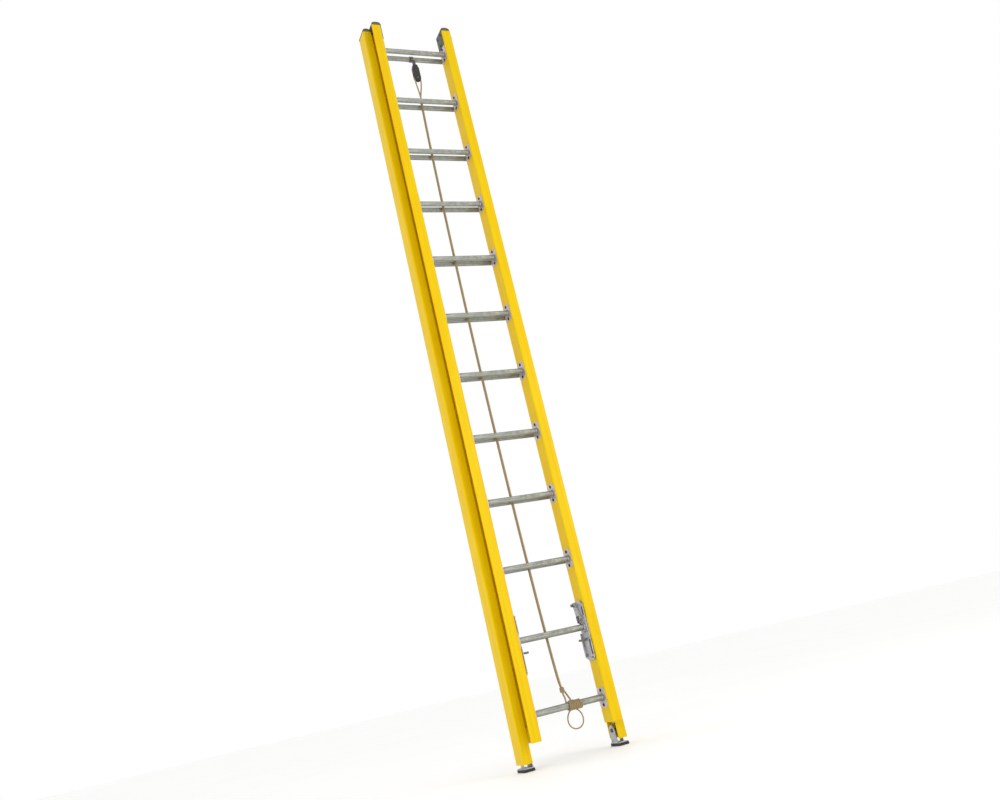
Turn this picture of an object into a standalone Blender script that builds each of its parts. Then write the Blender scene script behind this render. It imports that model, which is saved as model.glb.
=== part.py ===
"""Two-section fibreglass extension ladder with rope, pulley, rung locks and swivel shoes.

The ladder stands upright along +Z with its climbing side facing -Y. The base section is at the
back and its rails open inwards. The fly section slides up in front of it and its rails open
outwards, so the rear flange of each fly rail runs behind the front flange of a base rail.
"""
import math

import bmesh
import bpy
from mathutils import Matrix, Vector

# Driving dimensions, in metres
RUNG_COUNT = 12
RUNG_PITCH = 0.3048
RUNG_RADIUS = 0.0127
RUNG_WALL = 0.0022

RAIL_DEPTH = 0.0810              # along Y
RAIL_WALL = 0.0045
RAIL_CORNER = 0.0060
FLY_WEB_INNER = 0.1695           # half of the clear width between the fly rails
FLY_FLANGE = 0.0490
BASE_WEB_OUTER = 0.2510          # half of the overall width
BASE_FLANGE = 0.0430
SECTION_OFFSET = 0.0550          # from the fly section's middle plane to the base section's

BOTTOM_RUNG_Z = 0.2100
BASE_RAIL_BOTTOM = 0.0300
FLY_RAIL_BOTTOM = 0.1060
RAIL_TOP = 3.6900
CAP_TOP = 3.7100
CAP_ROUNDING = 0.0190            # corner radius of a cap seen from the front

SHOE_PIVOT_Z = 0.0660
SHOE_EAR_RADIUS = 0.0220
SHOE_HALF_LENGTH = 0.0400
PAD_THICKNESS = 0.0115
SOLE_TOP = 0.0148
BOLT_RADIUS = 0.0040

LOCK_ABOVE_RUNG = 0.1140
LOCK_BELOW_RUNG = 0.1460
LOCK_PLATE = 0.0040
HOOK_THICKNESS = 0.0080
HOOK_PIVOT_Y = 0.0010
HOOK_PIVOT_ABOVE = 0.1000        # hook pivot above the second rung
HOOK_SEAT_BELOW = 0.0800         # the hook's seat below its pivot; a raised fly drops 20 mm onto it
HOOK_SEAT_CLEARANCE = 0.0008
HOOK_JAW = 0.0080
HOOK_JAW_DROP = 0.0060
HOOK_STORED_SWING = -40.0        # degrees forward of the angle at which it sits on a rung
FINGER_LENGTH = 0.0220
FINGER_DROP = 0.0500             # finger pivot below the hook's pivot
FINGER_PIVOT_RADIUS = 0.0025

SHEAVE_DROP = 0.1400             # sheave axis below the top rung
SHEAVE_RIM = 0.0165
SHEAVE_HALF_WIDTH = 0.0060
SHEAVE_BORE = 0.0033
BLOCK_HALF_WIDTH = 0.0185
BLOCK_HALF_DEPTH = 0.0085

ROPE_DIAMETER = 0.0080
STRAND_OFFSET = 0.0160           # rope centre from the sheave axis
ROPE_POINTS = 44
ROPE_BOW = 0.0300                # sideways bow of both strands halfway down
HAUL_PLANE_Y = 0.0093
LIFT_PLANE_Y = -0.0050
KNOT_Z = 0.2780
WRAP_X = 0.0300
WRAP_HALF_LENGTH = 0.0360
HITCH_X = 0.0470
HITCH_HALF_LENGTH = 0.0140
LOOP_HALF_WIDTH = 0.0400
LOOP_HALF_HEIGHT = 0.0410

GAP = 0.0003
ROUND_STEPS = 16

FLY_Y = -SECTION_OFFSET / 2
BASE_Y = SECTION_OFFSET / 2
HALF_DEPTH = RAIL_DEPTH / 2
BASE_WEB_INNER = BASE_WEB_OUTER - RAIL_WALL
TOP_RUNG_Z = BOTTOM_RUNG_Z + (RUNG_COUNT - 1) * RUNG_PITCH
LOCK_RUNG_Z = BOTTOM_RUNG_Z + RUNG_PITCH
HOOK_PIVOT_Z = LOCK_RUNG_Z + HOOK_PIVOT_ABOVE
SHEAVE_Z = TOP_RUNG_Z - SHEAVE_DROP
SIDES = (("left", -1), ("right", 1))

# Local X and Y of an outline become world Y and Z, and its thickness runs along world X
OUTLINE_TO_YZ = Matrix(((0, 0, 1, 0), (1, 0, 0, 0), (0, 1, 0, 0), (0, 0, 0, 1)))
# Local X and Y become world X and Z, and the thickness runs along world Y
OUTLINE_TO_XZ = Matrix(((1, 0, 0, 0), (0, 0, -1, 0), (0, 1, 0, 0), (0, 0, 0, 1)))
# A turned shape's axis runs along world X, or along world Y
TURN_TO_X = Matrix.Rotation(math.pi / 2, 4, "Y")
TURN_TO_Y = Matrix.Rotation(-math.pi / 2, 4, "X")


def clear_scene():
    for item in list(bpy.data.objects):
        bpy.data.objects.remove(item, do_unlink=True)


def make_collection(name):
    collection = bpy.data.collections.new(name)
    bpy.context.scene.collection.children.link(collection)
    return collection


clear_scene()
PARTS = make_collection("extension_ladder")
CUTTERS = make_collection("cutters")


# Materials

def make_material(name, colour, roughness, metallic=0.0):
    material = bpy.data.materials.new(name)
    material.use_nodes = True
    shader = material.node_tree.nodes["Principled BSDF"]
    shader.inputs["Base Color"].default_value = (*colour, 1.0)
    shader.inputs["Roughness"].default_value = roughness
    shader.inputs["Metallic"].default_value = metallic
    material.diffuse_color = (*colour, 1.0)
    return material


FIBREGLASS = make_material("yellow_fibreglass", (0.85, 0.60, 0.01), 0.35)
ALUMINIUM = make_material("mill_aluminium", (0.45, 0.46, 0.46), 0.40, 1.0)
CASTING = make_material("cast_aluminium", (0.50, 0.51, 0.52), 0.50, 1.0)
STEEL = make_material("zinc_plated_steel", (0.40, 0.40, 0.38), 0.35, 1.0)
BLACK_PLASTIC = make_material("black_nylon", (0.02, 0.02, 0.02), 0.45)
GUIDE_NYLON = make_material("yellow_nylon", (0.72, 0.50, 0.02), 0.50)
CAP_PLASTIC = make_material("grey_cap_plastic", (0.06, 0.065, 0.06), 0.55)
RUBBER = make_material("shoe_rubber", (0.03, 0.03, 0.03), 0.80)
ROPE = make_material("polyester_rope", (0.33, 0.26, 0.15), 0.85)


# Shape helpers

def world_mesh(source):
    """Take an object's evaluated mesh into world space, weld it and drop the object."""
    bpy.context.view_layer.update()
    evaluated = source.evaluated_get(bpy.context.evaluated_depsgraph_get())
    mesh = bpy.data.meshes.new_from_object(evaluated)
    mesh.transform(source.matrix_world)
    welded = bmesh.new()
    welded.from_mesh(mesh)
    bmesh.ops.remove_doubles(welded, verts=welded.verts, dist=0.000001)
    bmesh.ops.recalc_face_normals(welded, faces=welded.faces)
    welded.to_mesh(mesh)
    welded.free()
    mesh.materials.clear()
    bpy.data.objects.remove(source, do_unlink=True)
    return mesh


def move_origin(mesh, origin):
    mesh.transform(Matrix.Translation(-Vector(origin)))


def add_part(name, mesh, material, origin=(0.0, 0.0, 0.0), smooth_angle=None):
    """Link a world-space mesh as a named part whose origin is at the given point."""
    move_origin(mesh, origin)
    if not mesh.materials:
        mesh.materials.append(material)
    if smooth_angle is not None:
        mesh.shade_smooth()
        mesh.set_sharp_from_angle(angle=math.radians(smooth_angle))
    part = bpy.data.objects.new(name, mesh)
    part.location = origin
    PARTS.objects.link(part)
    return part


def add_cutter(name, mesh):
    cutter = bpy.data.objects.new(name, mesh)
    cutter.hide_render = True
    cutter.display_type = "WIRE"
    CUTTERS.objects.link(cutter)
    return cutter


def combine(mesh, other, operation, name):
    """Return the mesh joined with, or cut by, another one."""
    body = bpy.data.objects.new(name, mesh)
    bpy.context.scene.collection.objects.link(body)
    tool = add_cutter(name + "_tool", other)
    modifier = body.modifiers.new("shape", "BOOLEAN")
    modifier.operation = operation
    modifier.solver = "EXACT"
    modifier.object = tool
    result = world_mesh(body)
    bpy.data.objects.remove(tool, do_unlink=True)
    return result


def join(mesh, other, name):
    return combine(mesh, other, "UNION", name)


def cut(mesh, other, name):
    return combine(mesh, other, "DIFFERENCE", name)


def box_mesh(low, high):
    size = Vector(high) - Vector(low)
    centre = (Vector(high) + Vector(low)) / 2
    shape = bmesh.new()
    bmesh.ops.create_cube(shape, size=1.0)
    bmesh.ops.scale(shape, vec=size, verts=shape.verts)
    bmesh.ops.translate(shape, vec=centre, verts=shape.verts)
    mesh = bpy.data.meshes.new("box")
    shape.to_mesh(mesh)
    shape.free()
    return mesh


def rods_mesh(centres, radius, length, turn, steps=ROUND_STEPS):
    """Equal solid cylinders at the given centres, with their axes turned from Z."""
    shape = bmesh.new()
    for centre in centres:
        bmesh.ops.create_cone(
            shape, cap_ends=True, segments=steps, radius1=radius, radius2=radius,
            depth=length, matrix=Matrix.Translation(centre) @ turn)
    mesh = bpy.data.meshes.new("rods")
    shape.to_mesh(mesh)
    shape.free()
    return mesh


def arc(centre, radius, start, end, steps):
    """Points on an arc, with its angles in degrees from the outline's first axis."""
    points = []
    for step in range(steps + 1):
        angle = math.radians(start + (end - start) * step / steps)
        points.append((centre[0] + radius * math.cos(angle), centre[1] + radius * math.sin(angle)))
    return points


def circle(centre, radius, steps=ROUND_STEPS):
    return arc(centre, radius, 0.0, 360.0 - 360.0 / steps, steps - 1)


def outline_mesh(outlines, thickness, matrix):
    """Extrude flat closed outlines; any after the first are holes in it."""
    curve = bpy.data.curves.new("outline", "CURVE")
    curve.dimensions = "2D"
    curve.fill_mode = "BOTH"
    curve.extrude = thickness / 2
    for points in outlines:
        spline = curve.splines.new("POLY")
        spline.points.add(len(points) - 1)
        for point, place in zip(spline.points, points):
            point.co = (place[0], place[1], 0.0, 1.0)
        spline.use_cyclic_u = True
    source = bpy.data.objects.new("outline", curve)
    source.matrix_world = matrix
    bpy.context.scene.collection.objects.link(source)
    return world_mesh(source)


def turned_mesh(profile, steps, matrix):
    """Turn a closed profile of (radius, height) points around its axis."""
    mesh = bpy.data.meshes.new("profile")
    points = [(radius, 0.0, height) for radius, height in profile]
    edges = [(index, (index + 1) % len(points)) for index in range(len(points))]
    mesh.from_pydata(points, edges, [])
    source = bpy.data.objects.new("turned", mesh)
    source.matrix_world = matrix
    bpy.context.scene.collection.objects.link(source)
    screw = source.modifiers.new("turn", "SCREW")
    screw.steps = steps
    screw.render_steps = steps
    screw.use_merge_vertices = True
    screw.merge_threshold = 0.00001
    return world_mesh(source)


def tube_mesh(points, radius):
    """A round rope along the points, with flat closed ends."""
    curve = bpy.data.curves.new("tube", "CURVE")
    curve.dimensions = "3D"
    curve.bevel_depth = radius
    curve.bevel_resolution = 2
    curve.use_fill_caps = True
    spline = curve.splines.new("POLY")
    spline.points.add(len(points) - 1)
    for point, place in zip(spline.points, points):
        point.co = (*place, 1.0)
    source = bpy.data.objects.new("tube", curve)
    bpy.context.scene.collection.objects.link(source)
    return world_mesh(source)


# Rails and rungs

def channel_outline(web_face, direction, flange, centre_y):
    """A channel's section: the web's face at web_face, its flanges running in direction."""
    def place(across, along):
        return (web_face + direction * across, centre_y + along)

    corner = RAIL_CORNER
    rear = [place(x, y) for x, y in arc((corner, HALF_DEPTH - corner), corner, 180.0, 90.0, 3)]
    front = [place(x, y) for x, y in arc((corner, corner - HALF_DEPTH), corner, 270.0, 180.0, 3)]
    inner = HALF_DEPTH - RAIL_WALL
    return (front + rear
            + [place(flange, HALF_DEPTH), place(flange, inner), place(RAIL_WALL, inner)]
            + [place(RAIL_WALL, -inner), place(flange, -inner), place(flange, -HALF_DEPTH)])


def rung_heights():
    return [BOTTOM_RUNG_Z + index * RUNG_PITCH for index in range(RUNG_COUNT)]


def make_rail(name, web_face, direction, flange, web_middle, centre_y, bottom):
    outline = channel_outline(web_face, direction, flange, centre_y)
    middle = Matrix.Translation((0.0, 0.0, (bottom + RAIL_TOP) / 2))
    rail = outline_mesh([outline], RAIL_TOP - bottom, middle)
    return add_part(name, rail, FIBREGLASS, (web_middle, centre_y, bottom))


def make_rails():
    for side, sign in SIDES:
        make_rail("base_rail_" + side, sign * BASE_WEB_OUTER, -sign, BASE_FLANGE,
                  sign * (BASE_WEB_OUTER - RAIL_WALL / 2), BASE_Y, BASE_RAIL_BOTTOM)
        make_rail("fly_rail_" + side, sign * FLY_WEB_INNER, sign, FLY_FLANGE,
                  sign * (FLY_WEB_INNER + RAIL_WALL / 2), FLY_Y, FLY_RAIL_BOTTOM)


def make_rungs(section, web_inner, centre_y):
    """Round hollow rungs, each from web to web; they share one mesh."""
    half = web_inner - GAP
    inner = RUNG_RADIUS - RUNG_WALL
    profile = [(inner, half), (RUNG_RADIUS, half), (RUNG_RADIUS, -half), (inner, -half)]
    mesh = turned_mesh(profile, ROUND_STEPS, TURN_TO_X)
    mesh.materials.append(ALUMINIUM)
    mesh.shade_smooth()
    mesh.set_sharp_from_angle(angle=math.radians(35.0))
    for number, height in enumerate(rung_heights(), start=1):
        rung = bpy.data.objects.new("%s_rung_%02d" % (section, number), mesh)
        rung.location = (0.0, centre_y, height)
        PARTS.objects.link(rung)


# End caps and sliding guides

def cap_mesh(low_x, high_x, plug_low_x, plug_high_x, centre_y, name):
    """An arched cap over a rail's end with a plug that goes down into its channel."""
    low, high = sorted((low_x, high_x))
    half = HALF_DEPTH + 0.0020
    height = CAP_TOP - RAIL_TOP - GAP
    rounding = CAP_ROUNDING
    outline = ([(high, 0.0)] + arc((high - rounding, height - rounding), rounding, 0.0, 90.0, 6)
               + arc((low + rounding, height - rounding), rounding, 90.0, 180.0, 6) + [(low, 0.0)])
    place = Matrix.Translation((0.0, centre_y, RAIL_TOP + GAP))
    dome = outline_mesh([outline], half * 2, place @ OUTLINE_TO_XZ)
    plug_half = HALF_DEPTH - RAIL_WALL - 0.0005
    plug = box_mesh((min(plug_low_x, plug_high_x), centre_y - plug_half, RAIL_TOP - 0.0300),
                    (max(plug_low_x, plug_high_x), centre_y + plug_half, RAIL_TOP + 0.0050))
    return join(dome, plug, name)


def make_caps():
    for side, sign in SIDES:
        name = "base_cap_" + side
        cap = cap_mesh(sign * (BASE_WEB_OUTER - BASE_FLANGE), sign * (BASE_WEB_OUTER + 0.0010),
                       sign * 0.2220, sign * (BASE_WEB_INNER - 0.0005), BASE_Y, name)
        # The fly rail's rear flange slides through this slot
        fly_rear = FLY_Y + HALF_DEPTH
        edges = sorted((sign * (BASE_WEB_OUTER - BASE_FLANGE - 0.0100), sign * (FLY_WEB_INNER + FLY_FLANGE + 0.0010)))
        slot = box_mesh((edges[0], fly_rear - RAIL_WALL - 0.0010, RAIL_TOP - 0.0100),
                        (edges[1], fly_rear + 0.0030, CAP_TOP + 0.0100))
        cap = cut(cap, slot, name)
        add_part(name, cap, CAP_PLASTIC, (sign * BASE_WEB_OUTER, BASE_Y, RAIL_TOP))
        name = "fly_cap_" + side
        web_outer = FLY_WEB_INNER + RAIL_WALL
        plate_face = FLY_WEB_INNER - GAP
        plate_back = plate_face - 0.0030
        cap = cap_mesh(sign * plate_back, sign * (FLY_WEB_INNER + FLY_FLANGE),
                       sign * (web_outer + 0.0005), sign * 0.2050, FLY_Y, name)
        # Room for the base section's cap over the lip of its front flange
        lip_x = BASE_WEB_OUTER - BASE_FLANGE
        edges = sorted((sign * (lip_x - 0.0010), sign * (lip_x + 0.0300)))
        notch = box_mesh((edges[0], BASE_Y - HALF_DEPTH - 0.0030, RAIL_TOP),
                         (edges[1], FLY_Y + HALF_DEPTH - RAIL_WALL - 0.0005, CAP_TOP + 0.0100))
        cap = cut(cap, notch, name)
        plate_half = HALF_DEPTH - 0.0040
        plate = box_mesh(
            (min(sign * plate_back, sign * plate_face), FLY_Y - plate_half, TOP_RUNG_Z + 0.0400),
            (max(sign * plate_back, sign * plate_face), FLY_Y + plate_half, RAIL_TOP + 0.0050))
        add_part(name, join(cap, plate, name), CAP_PLASTIC, (sign * FLY_WEB_INNER, FLY_Y, RAIL_TOP))


def make_guides():
    """Blocks between the base rail's front flange and the fly rail's rear flange."""
    half_y = HALF_DEPTH - SECTION_OFFSET / 2 - RAIL_WALL - GAP
    for side, sign in SIDES:
        edges = sorted((sign * 0.2085, sign * 0.2405))
        block = box_mesh((edges[0], -half_y, RAIL_TOP - 0.0960), (edges[1], half_y, RAIL_TOP - 0.0360))
        add_part("base_guide_" + side, block, GUIDE_NYLON, (sign * 0.2085, 0.0, RAIL_TOP - 0.0960))
        edges = sorted((sign * 0.1950, sign * 0.2180))
        block = box_mesh((edges[0], -half_y, FLY_RAIL_BOTTOM), (edges[1], half_y, FLY_RAIL_BOTTOM + 0.0600))
        add_part("fly_guide_" + side, block, GUIDE_NYLON, (sign * 0.1950, 0.0, FLY_RAIL_BOTTOM))


# Swivel shoes

def make_shoe(side, sign):
    pivot = (BASE_Y, SHOE_PIVOT_Z)
    hole = circle(pivot, BOLT_RADIUS + GAP, 12)

    plate_half = HALF_DEPTH - RAIL_WALL - 0.0030
    plate_top = FLY_RAIL_BOTTOM + 0.0040
    low = BASE_RAIL_BOTTOM + 0.0040
    bracket = [(BASE_Y + plate_half - 0.0080, low), (BASE_Y + plate_half, low + 0.0080),
               (BASE_Y + plate_half, plate_top), (BASE_Y - plate_half, plate_top),
               (BASE_Y - plate_half, low + 0.0080), (BASE_Y - plate_half + 0.0080, low)]
    bracket_x = BASE_WEB_INNER - GAP - 0.0020
    plate = outline_mesh([bracket, hole], 0.0040, Matrix.Translation((sign * bracket_x, 0.0, 0.0)) @ OUTLINE_TO_YZ)
    lip_x = BASE_WEB_OUTER - BASE_FLANGE
    ledge_edges = sorted((sign * lip_x, sign * bracket_x))
    ledge = box_mesh((ledge_edges[0], BASE_Y - plate_half + 0.0005, FLY_RAIL_BOTTOM - 0.0110),
                     (ledge_edges[1], HALF_DEPTH - SECTION_OFFSET / 2, FLY_RAIL_BOTTOM - GAP))
    mesh = join(plate, ledge, "shoe_bracket_" + side)
    add_part("shoe_bracket_" + side, mesh, CASTING, (sign * bracket_x, *pivot))

    # The inner ear stands outside the channel's lips, the outer one swings inside the channel
    inner_ear_x = lip_x - 0.0005 - 0.0020
    outer_ear_x = bracket_x - 0.0020 - GAP - 0.0018
    sole_edges = sorted((sign * (inner_ear_x - 0.0020), sign * (BASE_WEB_OUTER - 0.0001)))
    shoe = box_mesh((sole_edges[0], BASE_Y - SHOE_HALF_LENGTH, PAD_THICKNESS + GAP),
                    (sole_edges[1], BASE_Y + SHOE_HALF_LENGTH, SOLE_TOP))
    for ear_x, thickness, radius, foot in ((inner_ear_x, 0.0040, SHOE_EAR_RADIUS, 0.0280),
                                           (outer_ear_x, 0.0036, 0.0140, 0.0150)):
        ear = ([(BASE_Y + foot, SOLE_TOP - 0.0010)] + arc(pivot, radius, 0.0, 180.0, 8)
               + [(BASE_Y - foot, SOLE_TOP - 0.0010)])
        matrix = Matrix.Translation((sign * ear_x, 0.0, 0.0)) @ OUTLINE_TO_YZ
        shoe = join(shoe, outline_mesh([ear, hole], thickness, matrix), "shoe_" + side)
    add_part("shoe_" + side, shoe, CASTING, (sign * bracket_x, *pivot))

    pad = box_mesh((sole_edges[0], BASE_Y - SHOE_HALF_LENGTH, 0.0),
                   (sole_edges[1], BASE_Y + SHOE_HALF_LENGTH, PAD_THICKNESS))
    add_part("shoe_pad_" + side, pad, RUBBER, (sign * bracket_x, *pivot))

    # A stud held in the bracket's plate, with its nut on the inner ear
    end = bracket_x + 0.0018
    nut = inner_ear_x - 0.0020 - GAP
    profile = [(0.0010, end), (BOLT_RADIUS, end), (BOLT_RADIUS, nut), (0.0085, nut),
               (0.0085, nut - 0.0060), (0.0010, nut - 0.0060)]
    turn = TURN_TO_X if sign > 0 else Matrix.Rotation(-math.pi / 2, 4, "Y")
    bolt = turned_mesh(profile, 12, Matrix.Translation((0.0, *pivot)) @ turn)
    add_part("shoe_bolt_" + side, bolt, STEEL, (sign * bracket_x, *pivot))


# Rung locks

def hook_outline():
    """The hook with its pivot at the outline's origin and its mouth facing down."""
    across = BASE_Y - HOOK_PIVOT_Y
    seat = (across, -HOOK_SEAT_BELOW)
    bore = RUNG_RADIUS + HOOK_SEAT_CLEARANCE
    jaw_z = RUNG_RADIUS - HOOK_JAW_DROP - HOOK_SEAT_BELOW
    opening = math.degrees(math.asin((jaw_z + HOOK_SEAT_BELOW) / bore))
    seat_arc = arc(seat, bore, opening, 180.0 - opening, 8)
    outer = bore + HOOK_JAW
    return (arc((0.0, 0.0), 0.0110, 20.0, 190.0, 8)
            + [(across - outer, jaw_z + 0.0220), (across - outer, jaw_z)] + seat_arc[::-1]
            + [(across + outer, jaw_z), (across + outer, jaw_z + 0.0150)])


def make_lock(side, sign):
    rung = (FLY_Y, LOCK_RUNG_Z)
    front = FLY_Y - HALF_DEPTH + 0.0060
    rear = FLY_Y + HALF_DEPTH - 0.0035
    top = LOCK_RUNG_Z + LOCK_ABOVE_RUNG
    bottom = LOCK_RUNG_Z - LOCK_BELOW_RUNG
    plate_x = FLY_WEB_INNER - 0.0036 - LOCK_PLATE / 2
    face_x = plate_x - LOCK_PLATE / 2
    chamfer = 0.0120
    outline = [(rear, bottom + chamfer), (rear, top - chamfer), (rear - chamfer, top),
               (front + chamfer, top), (front, top - chamfer), (front, bottom + chamfer),
               (front + chamfer, bottom), (rear - chamfer, bottom)]
    window = [(FLY_Y + 0.0120, bottom + 0.0220), (FLY_Y + 0.0120, bottom + 0.0780),
              (FLY_Y - 0.0080, bottom + 0.0780), (FLY_Y - 0.0080, bottom + 0.0220)]
    hole = circle(rung, RUNG_RADIUS + GAP)
    place = Matrix.Translation((sign * plate_x, 0.0, 0.0)) @ OUTLINE_TO_YZ
    body = outline_mesh([outline, window, hole], LOCK_PLATE, place)
    post = rods_mesh([(sign * (face_x - 0.0190), FLY_Y, LOCK_RUNG_Z - 0.0550)], 0.0045, 0.0400, TURN_TO_X, 12)
    name = "lock_body_" + side
    body = join(body, post, name)
    for edge in (front + 0.0020, rear - 0.0020):
        rib = box_mesh((min(sign * (face_x - 0.0080), sign * (face_x + 0.0010)), edge - 0.0020, bottom + 0.0200),
                       (max(sign * (face_x - 0.0080), sign * (face_x + 0.0010)), edge + 0.0020,
                        LOCK_RUNG_Z - 0.0250))
        body = join(body, rib, name)
    pivot = (HOOK_PIVOT_Y, HOOK_PIVOT_Z)
    add_part(name, body, CASTING, (sign * plate_x, *rung))

    hook_x = face_x - GAP - HOOK_THICKNESS / 2
    place = Matrix.Translation((sign * hook_x, *pivot)) @ OUTLINE_TO_YZ
    hook = outline_mesh([hook_outline(), circle((0.0, 0.0), BOLT_RADIUS + GAP, 12)],
                        HOOK_THICKNESS, place)
    finger_arm = Vector((0.0, BASE_Y - HOOK_PIVOT_Y, -FINGER_DROP))
    boss_place = Vector((sign * (hook_x - HOOK_THICKNESS / 2 - 0.0035), *pivot)) + finger_arm
    boss = rods_mesh([tuple(boss_place)], FINGER_PIVOT_RADIUS, 0.0110, TURN_TO_X, 12)
    name = "lock_hook_" + side
    hook = join(hook, boss, name)
    centre = Vector((0.0, *pivot))
    swing = Matrix.Rotation(math.radians(HOOK_STORED_SWING), 4, "X")
    hook.transform(Matrix.Translation(centre) @ swing @ Matrix.Translation(-centre))
    finger_pivot = centre + swing @ finger_arm
    add_part(name, hook, CASTING, (sign * hook_x, *pivot))

    pin = rods_mesh([(sign * (face_x - GAP - 0.0060), *pivot)], BOLT_RADIUS, 0.0120, TURN_TO_X, 12)
    add_part("lock_pin_" + side, pin, STEEL, (sign * hook_x, *pivot))

    finger_x = hook_x - HOOK_THICKNESS / 2 - GAP - 0.0030
    finger = (arc((0.0, 0.0), 0.0060, -10.0, 190.0, 8) + arc((0.0, -FINGER_LENGTH), 0.0040, 190.0, 350.0, 6))
    place = Matrix.Translation((sign * finger_x, finger_pivot.y, finger_pivot.z)) @ OUTLINE_TO_YZ
    mesh = outline_mesh([finger, circle((0.0, 0.0), FINGER_PIVOT_RADIUS + GAP, 12)], 0.0060, place)
    add_part("lock_finger_" + side, mesh, STEEL, (sign * finger_x, finger_pivot.y, finger_pivot.z))


# Pulley

def make_pulley():
    rung = (BASE_Y, TOP_RUNG_Z)
    block_top = TOP_RUNG_Z - 0.0580
    hanger_width = 0.0170
    ring = outline_mesh([circle(rung, RUNG_RADIUS + 0.0033), circle(rung, RUNG_RADIUS + GAP)],
                        hanger_width, OUTLINE_TO_YZ)
    arm = [(0.0150, TOP_RUNG_Z - 0.0080), (-0.0030, TOP_RUNG_Z - 0.0260), (-0.0030, block_top + GAP),
           (0.0030, block_top + GAP), (0.0030, TOP_RUNG_Z - 0.0290), (0.0190, TOP_RUNG_Z - 0.0140)]
    hanger = join(ring, outline_mesh([arm], hanger_width, OUTLINE_TO_YZ), "pulley_hanger")
    add_part("pulley_hanger", hanger, STEEL, (0.0, *rung))

    cheek_bottom = SHEAVE_Z - BLOCK_HALF_WIDTH
    outline = (arc((0.0, SHEAVE_Z), BLOCK_HALF_WIDTH, 180.0, 360.0, 12)
               + [(BLOCK_HALF_WIDTH, block_top - 0.0220), (0.0100, block_top), (-0.0100, block_top),
                  (-BLOCK_HALF_WIDTH, block_top - 0.0220)])
    block = outline_mesh([outline], BLOCK_HALF_DEPTH * 2, OUTLINE_TO_XZ)
    slot_half = SHEAVE_HALF_WIDTH + GAP
    slot = box_mesh((-0.0300, -slot_half, cheek_bottom - 0.0100),
                    (0.0300, slot_half, SHEAVE_Z + STRAND_OFFSET + ROPE_DIAMETER / 2 + 0.0010))
    block = cut(block, slot, "pulley_block")
    axle = rods_mesh([(0.0, 0.0, SHEAVE_Z)], SHEAVE_BORE - GAP, BLOCK_HALF_DEPTH * 2 - 0.0010, TURN_TO_Y, 12)
    add_part("pulley_block", join(block, axle, "pulley_block"), BLACK_PLASTIC, (0.0, 0.0, SHEAVE_Z))

    groove = STRAND_OFFSET - ROPE_DIAMETER / 2 - 0.0005
    half = SHEAVE_HALF_WIDTH
    wall = (groove + 0.0010, 0.0032)
    profile = [(SHEAVE_BORE, half), (SHEAVE_RIM, half), (SHEAVE_RIM, half - 0.0005), wall,
               (groove, 0.0012), (groove, -0.0012), (wall[0], -wall[1]), (SHEAVE_RIM, 0.0005 - half),
               (SHEAVE_RIM, -half), (SHEAVE_BORE, -half)]
    sheave = turned_mesh(profile, 20, Matrix.Translation((0.0, 0.0, SHEAVE_Z)) @ TURN_TO_Y)
    add_part("pulley_sheave", sheave, BLACK_PLASTIC, (0.0, 0.0, SHEAVE_Z), 35.0)


# Rope

def strand(top, bottom, plane_y, bow):
    """Points down a slack strand: it eases into plane_y and bows sideways on its way."""
    points = []
    for index in range(ROPE_POINTS):
        part = index / (ROPE_POINTS - 1)
        ease = min(1.0, part / 0.05)
        ease = ease * ease * (3.0 - 2.0 * ease)
        x = top[0] + (bottom[0] - top[0]) * ease
        x -= bow * ease * math.sin(math.pi * part) ** 0.6
        y = top[1] + (plane_y - top[1]) * ease
        z = top[2] + (bottom[2] - top[2]) * part
        points.append((x, y, z))
    return points


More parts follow.
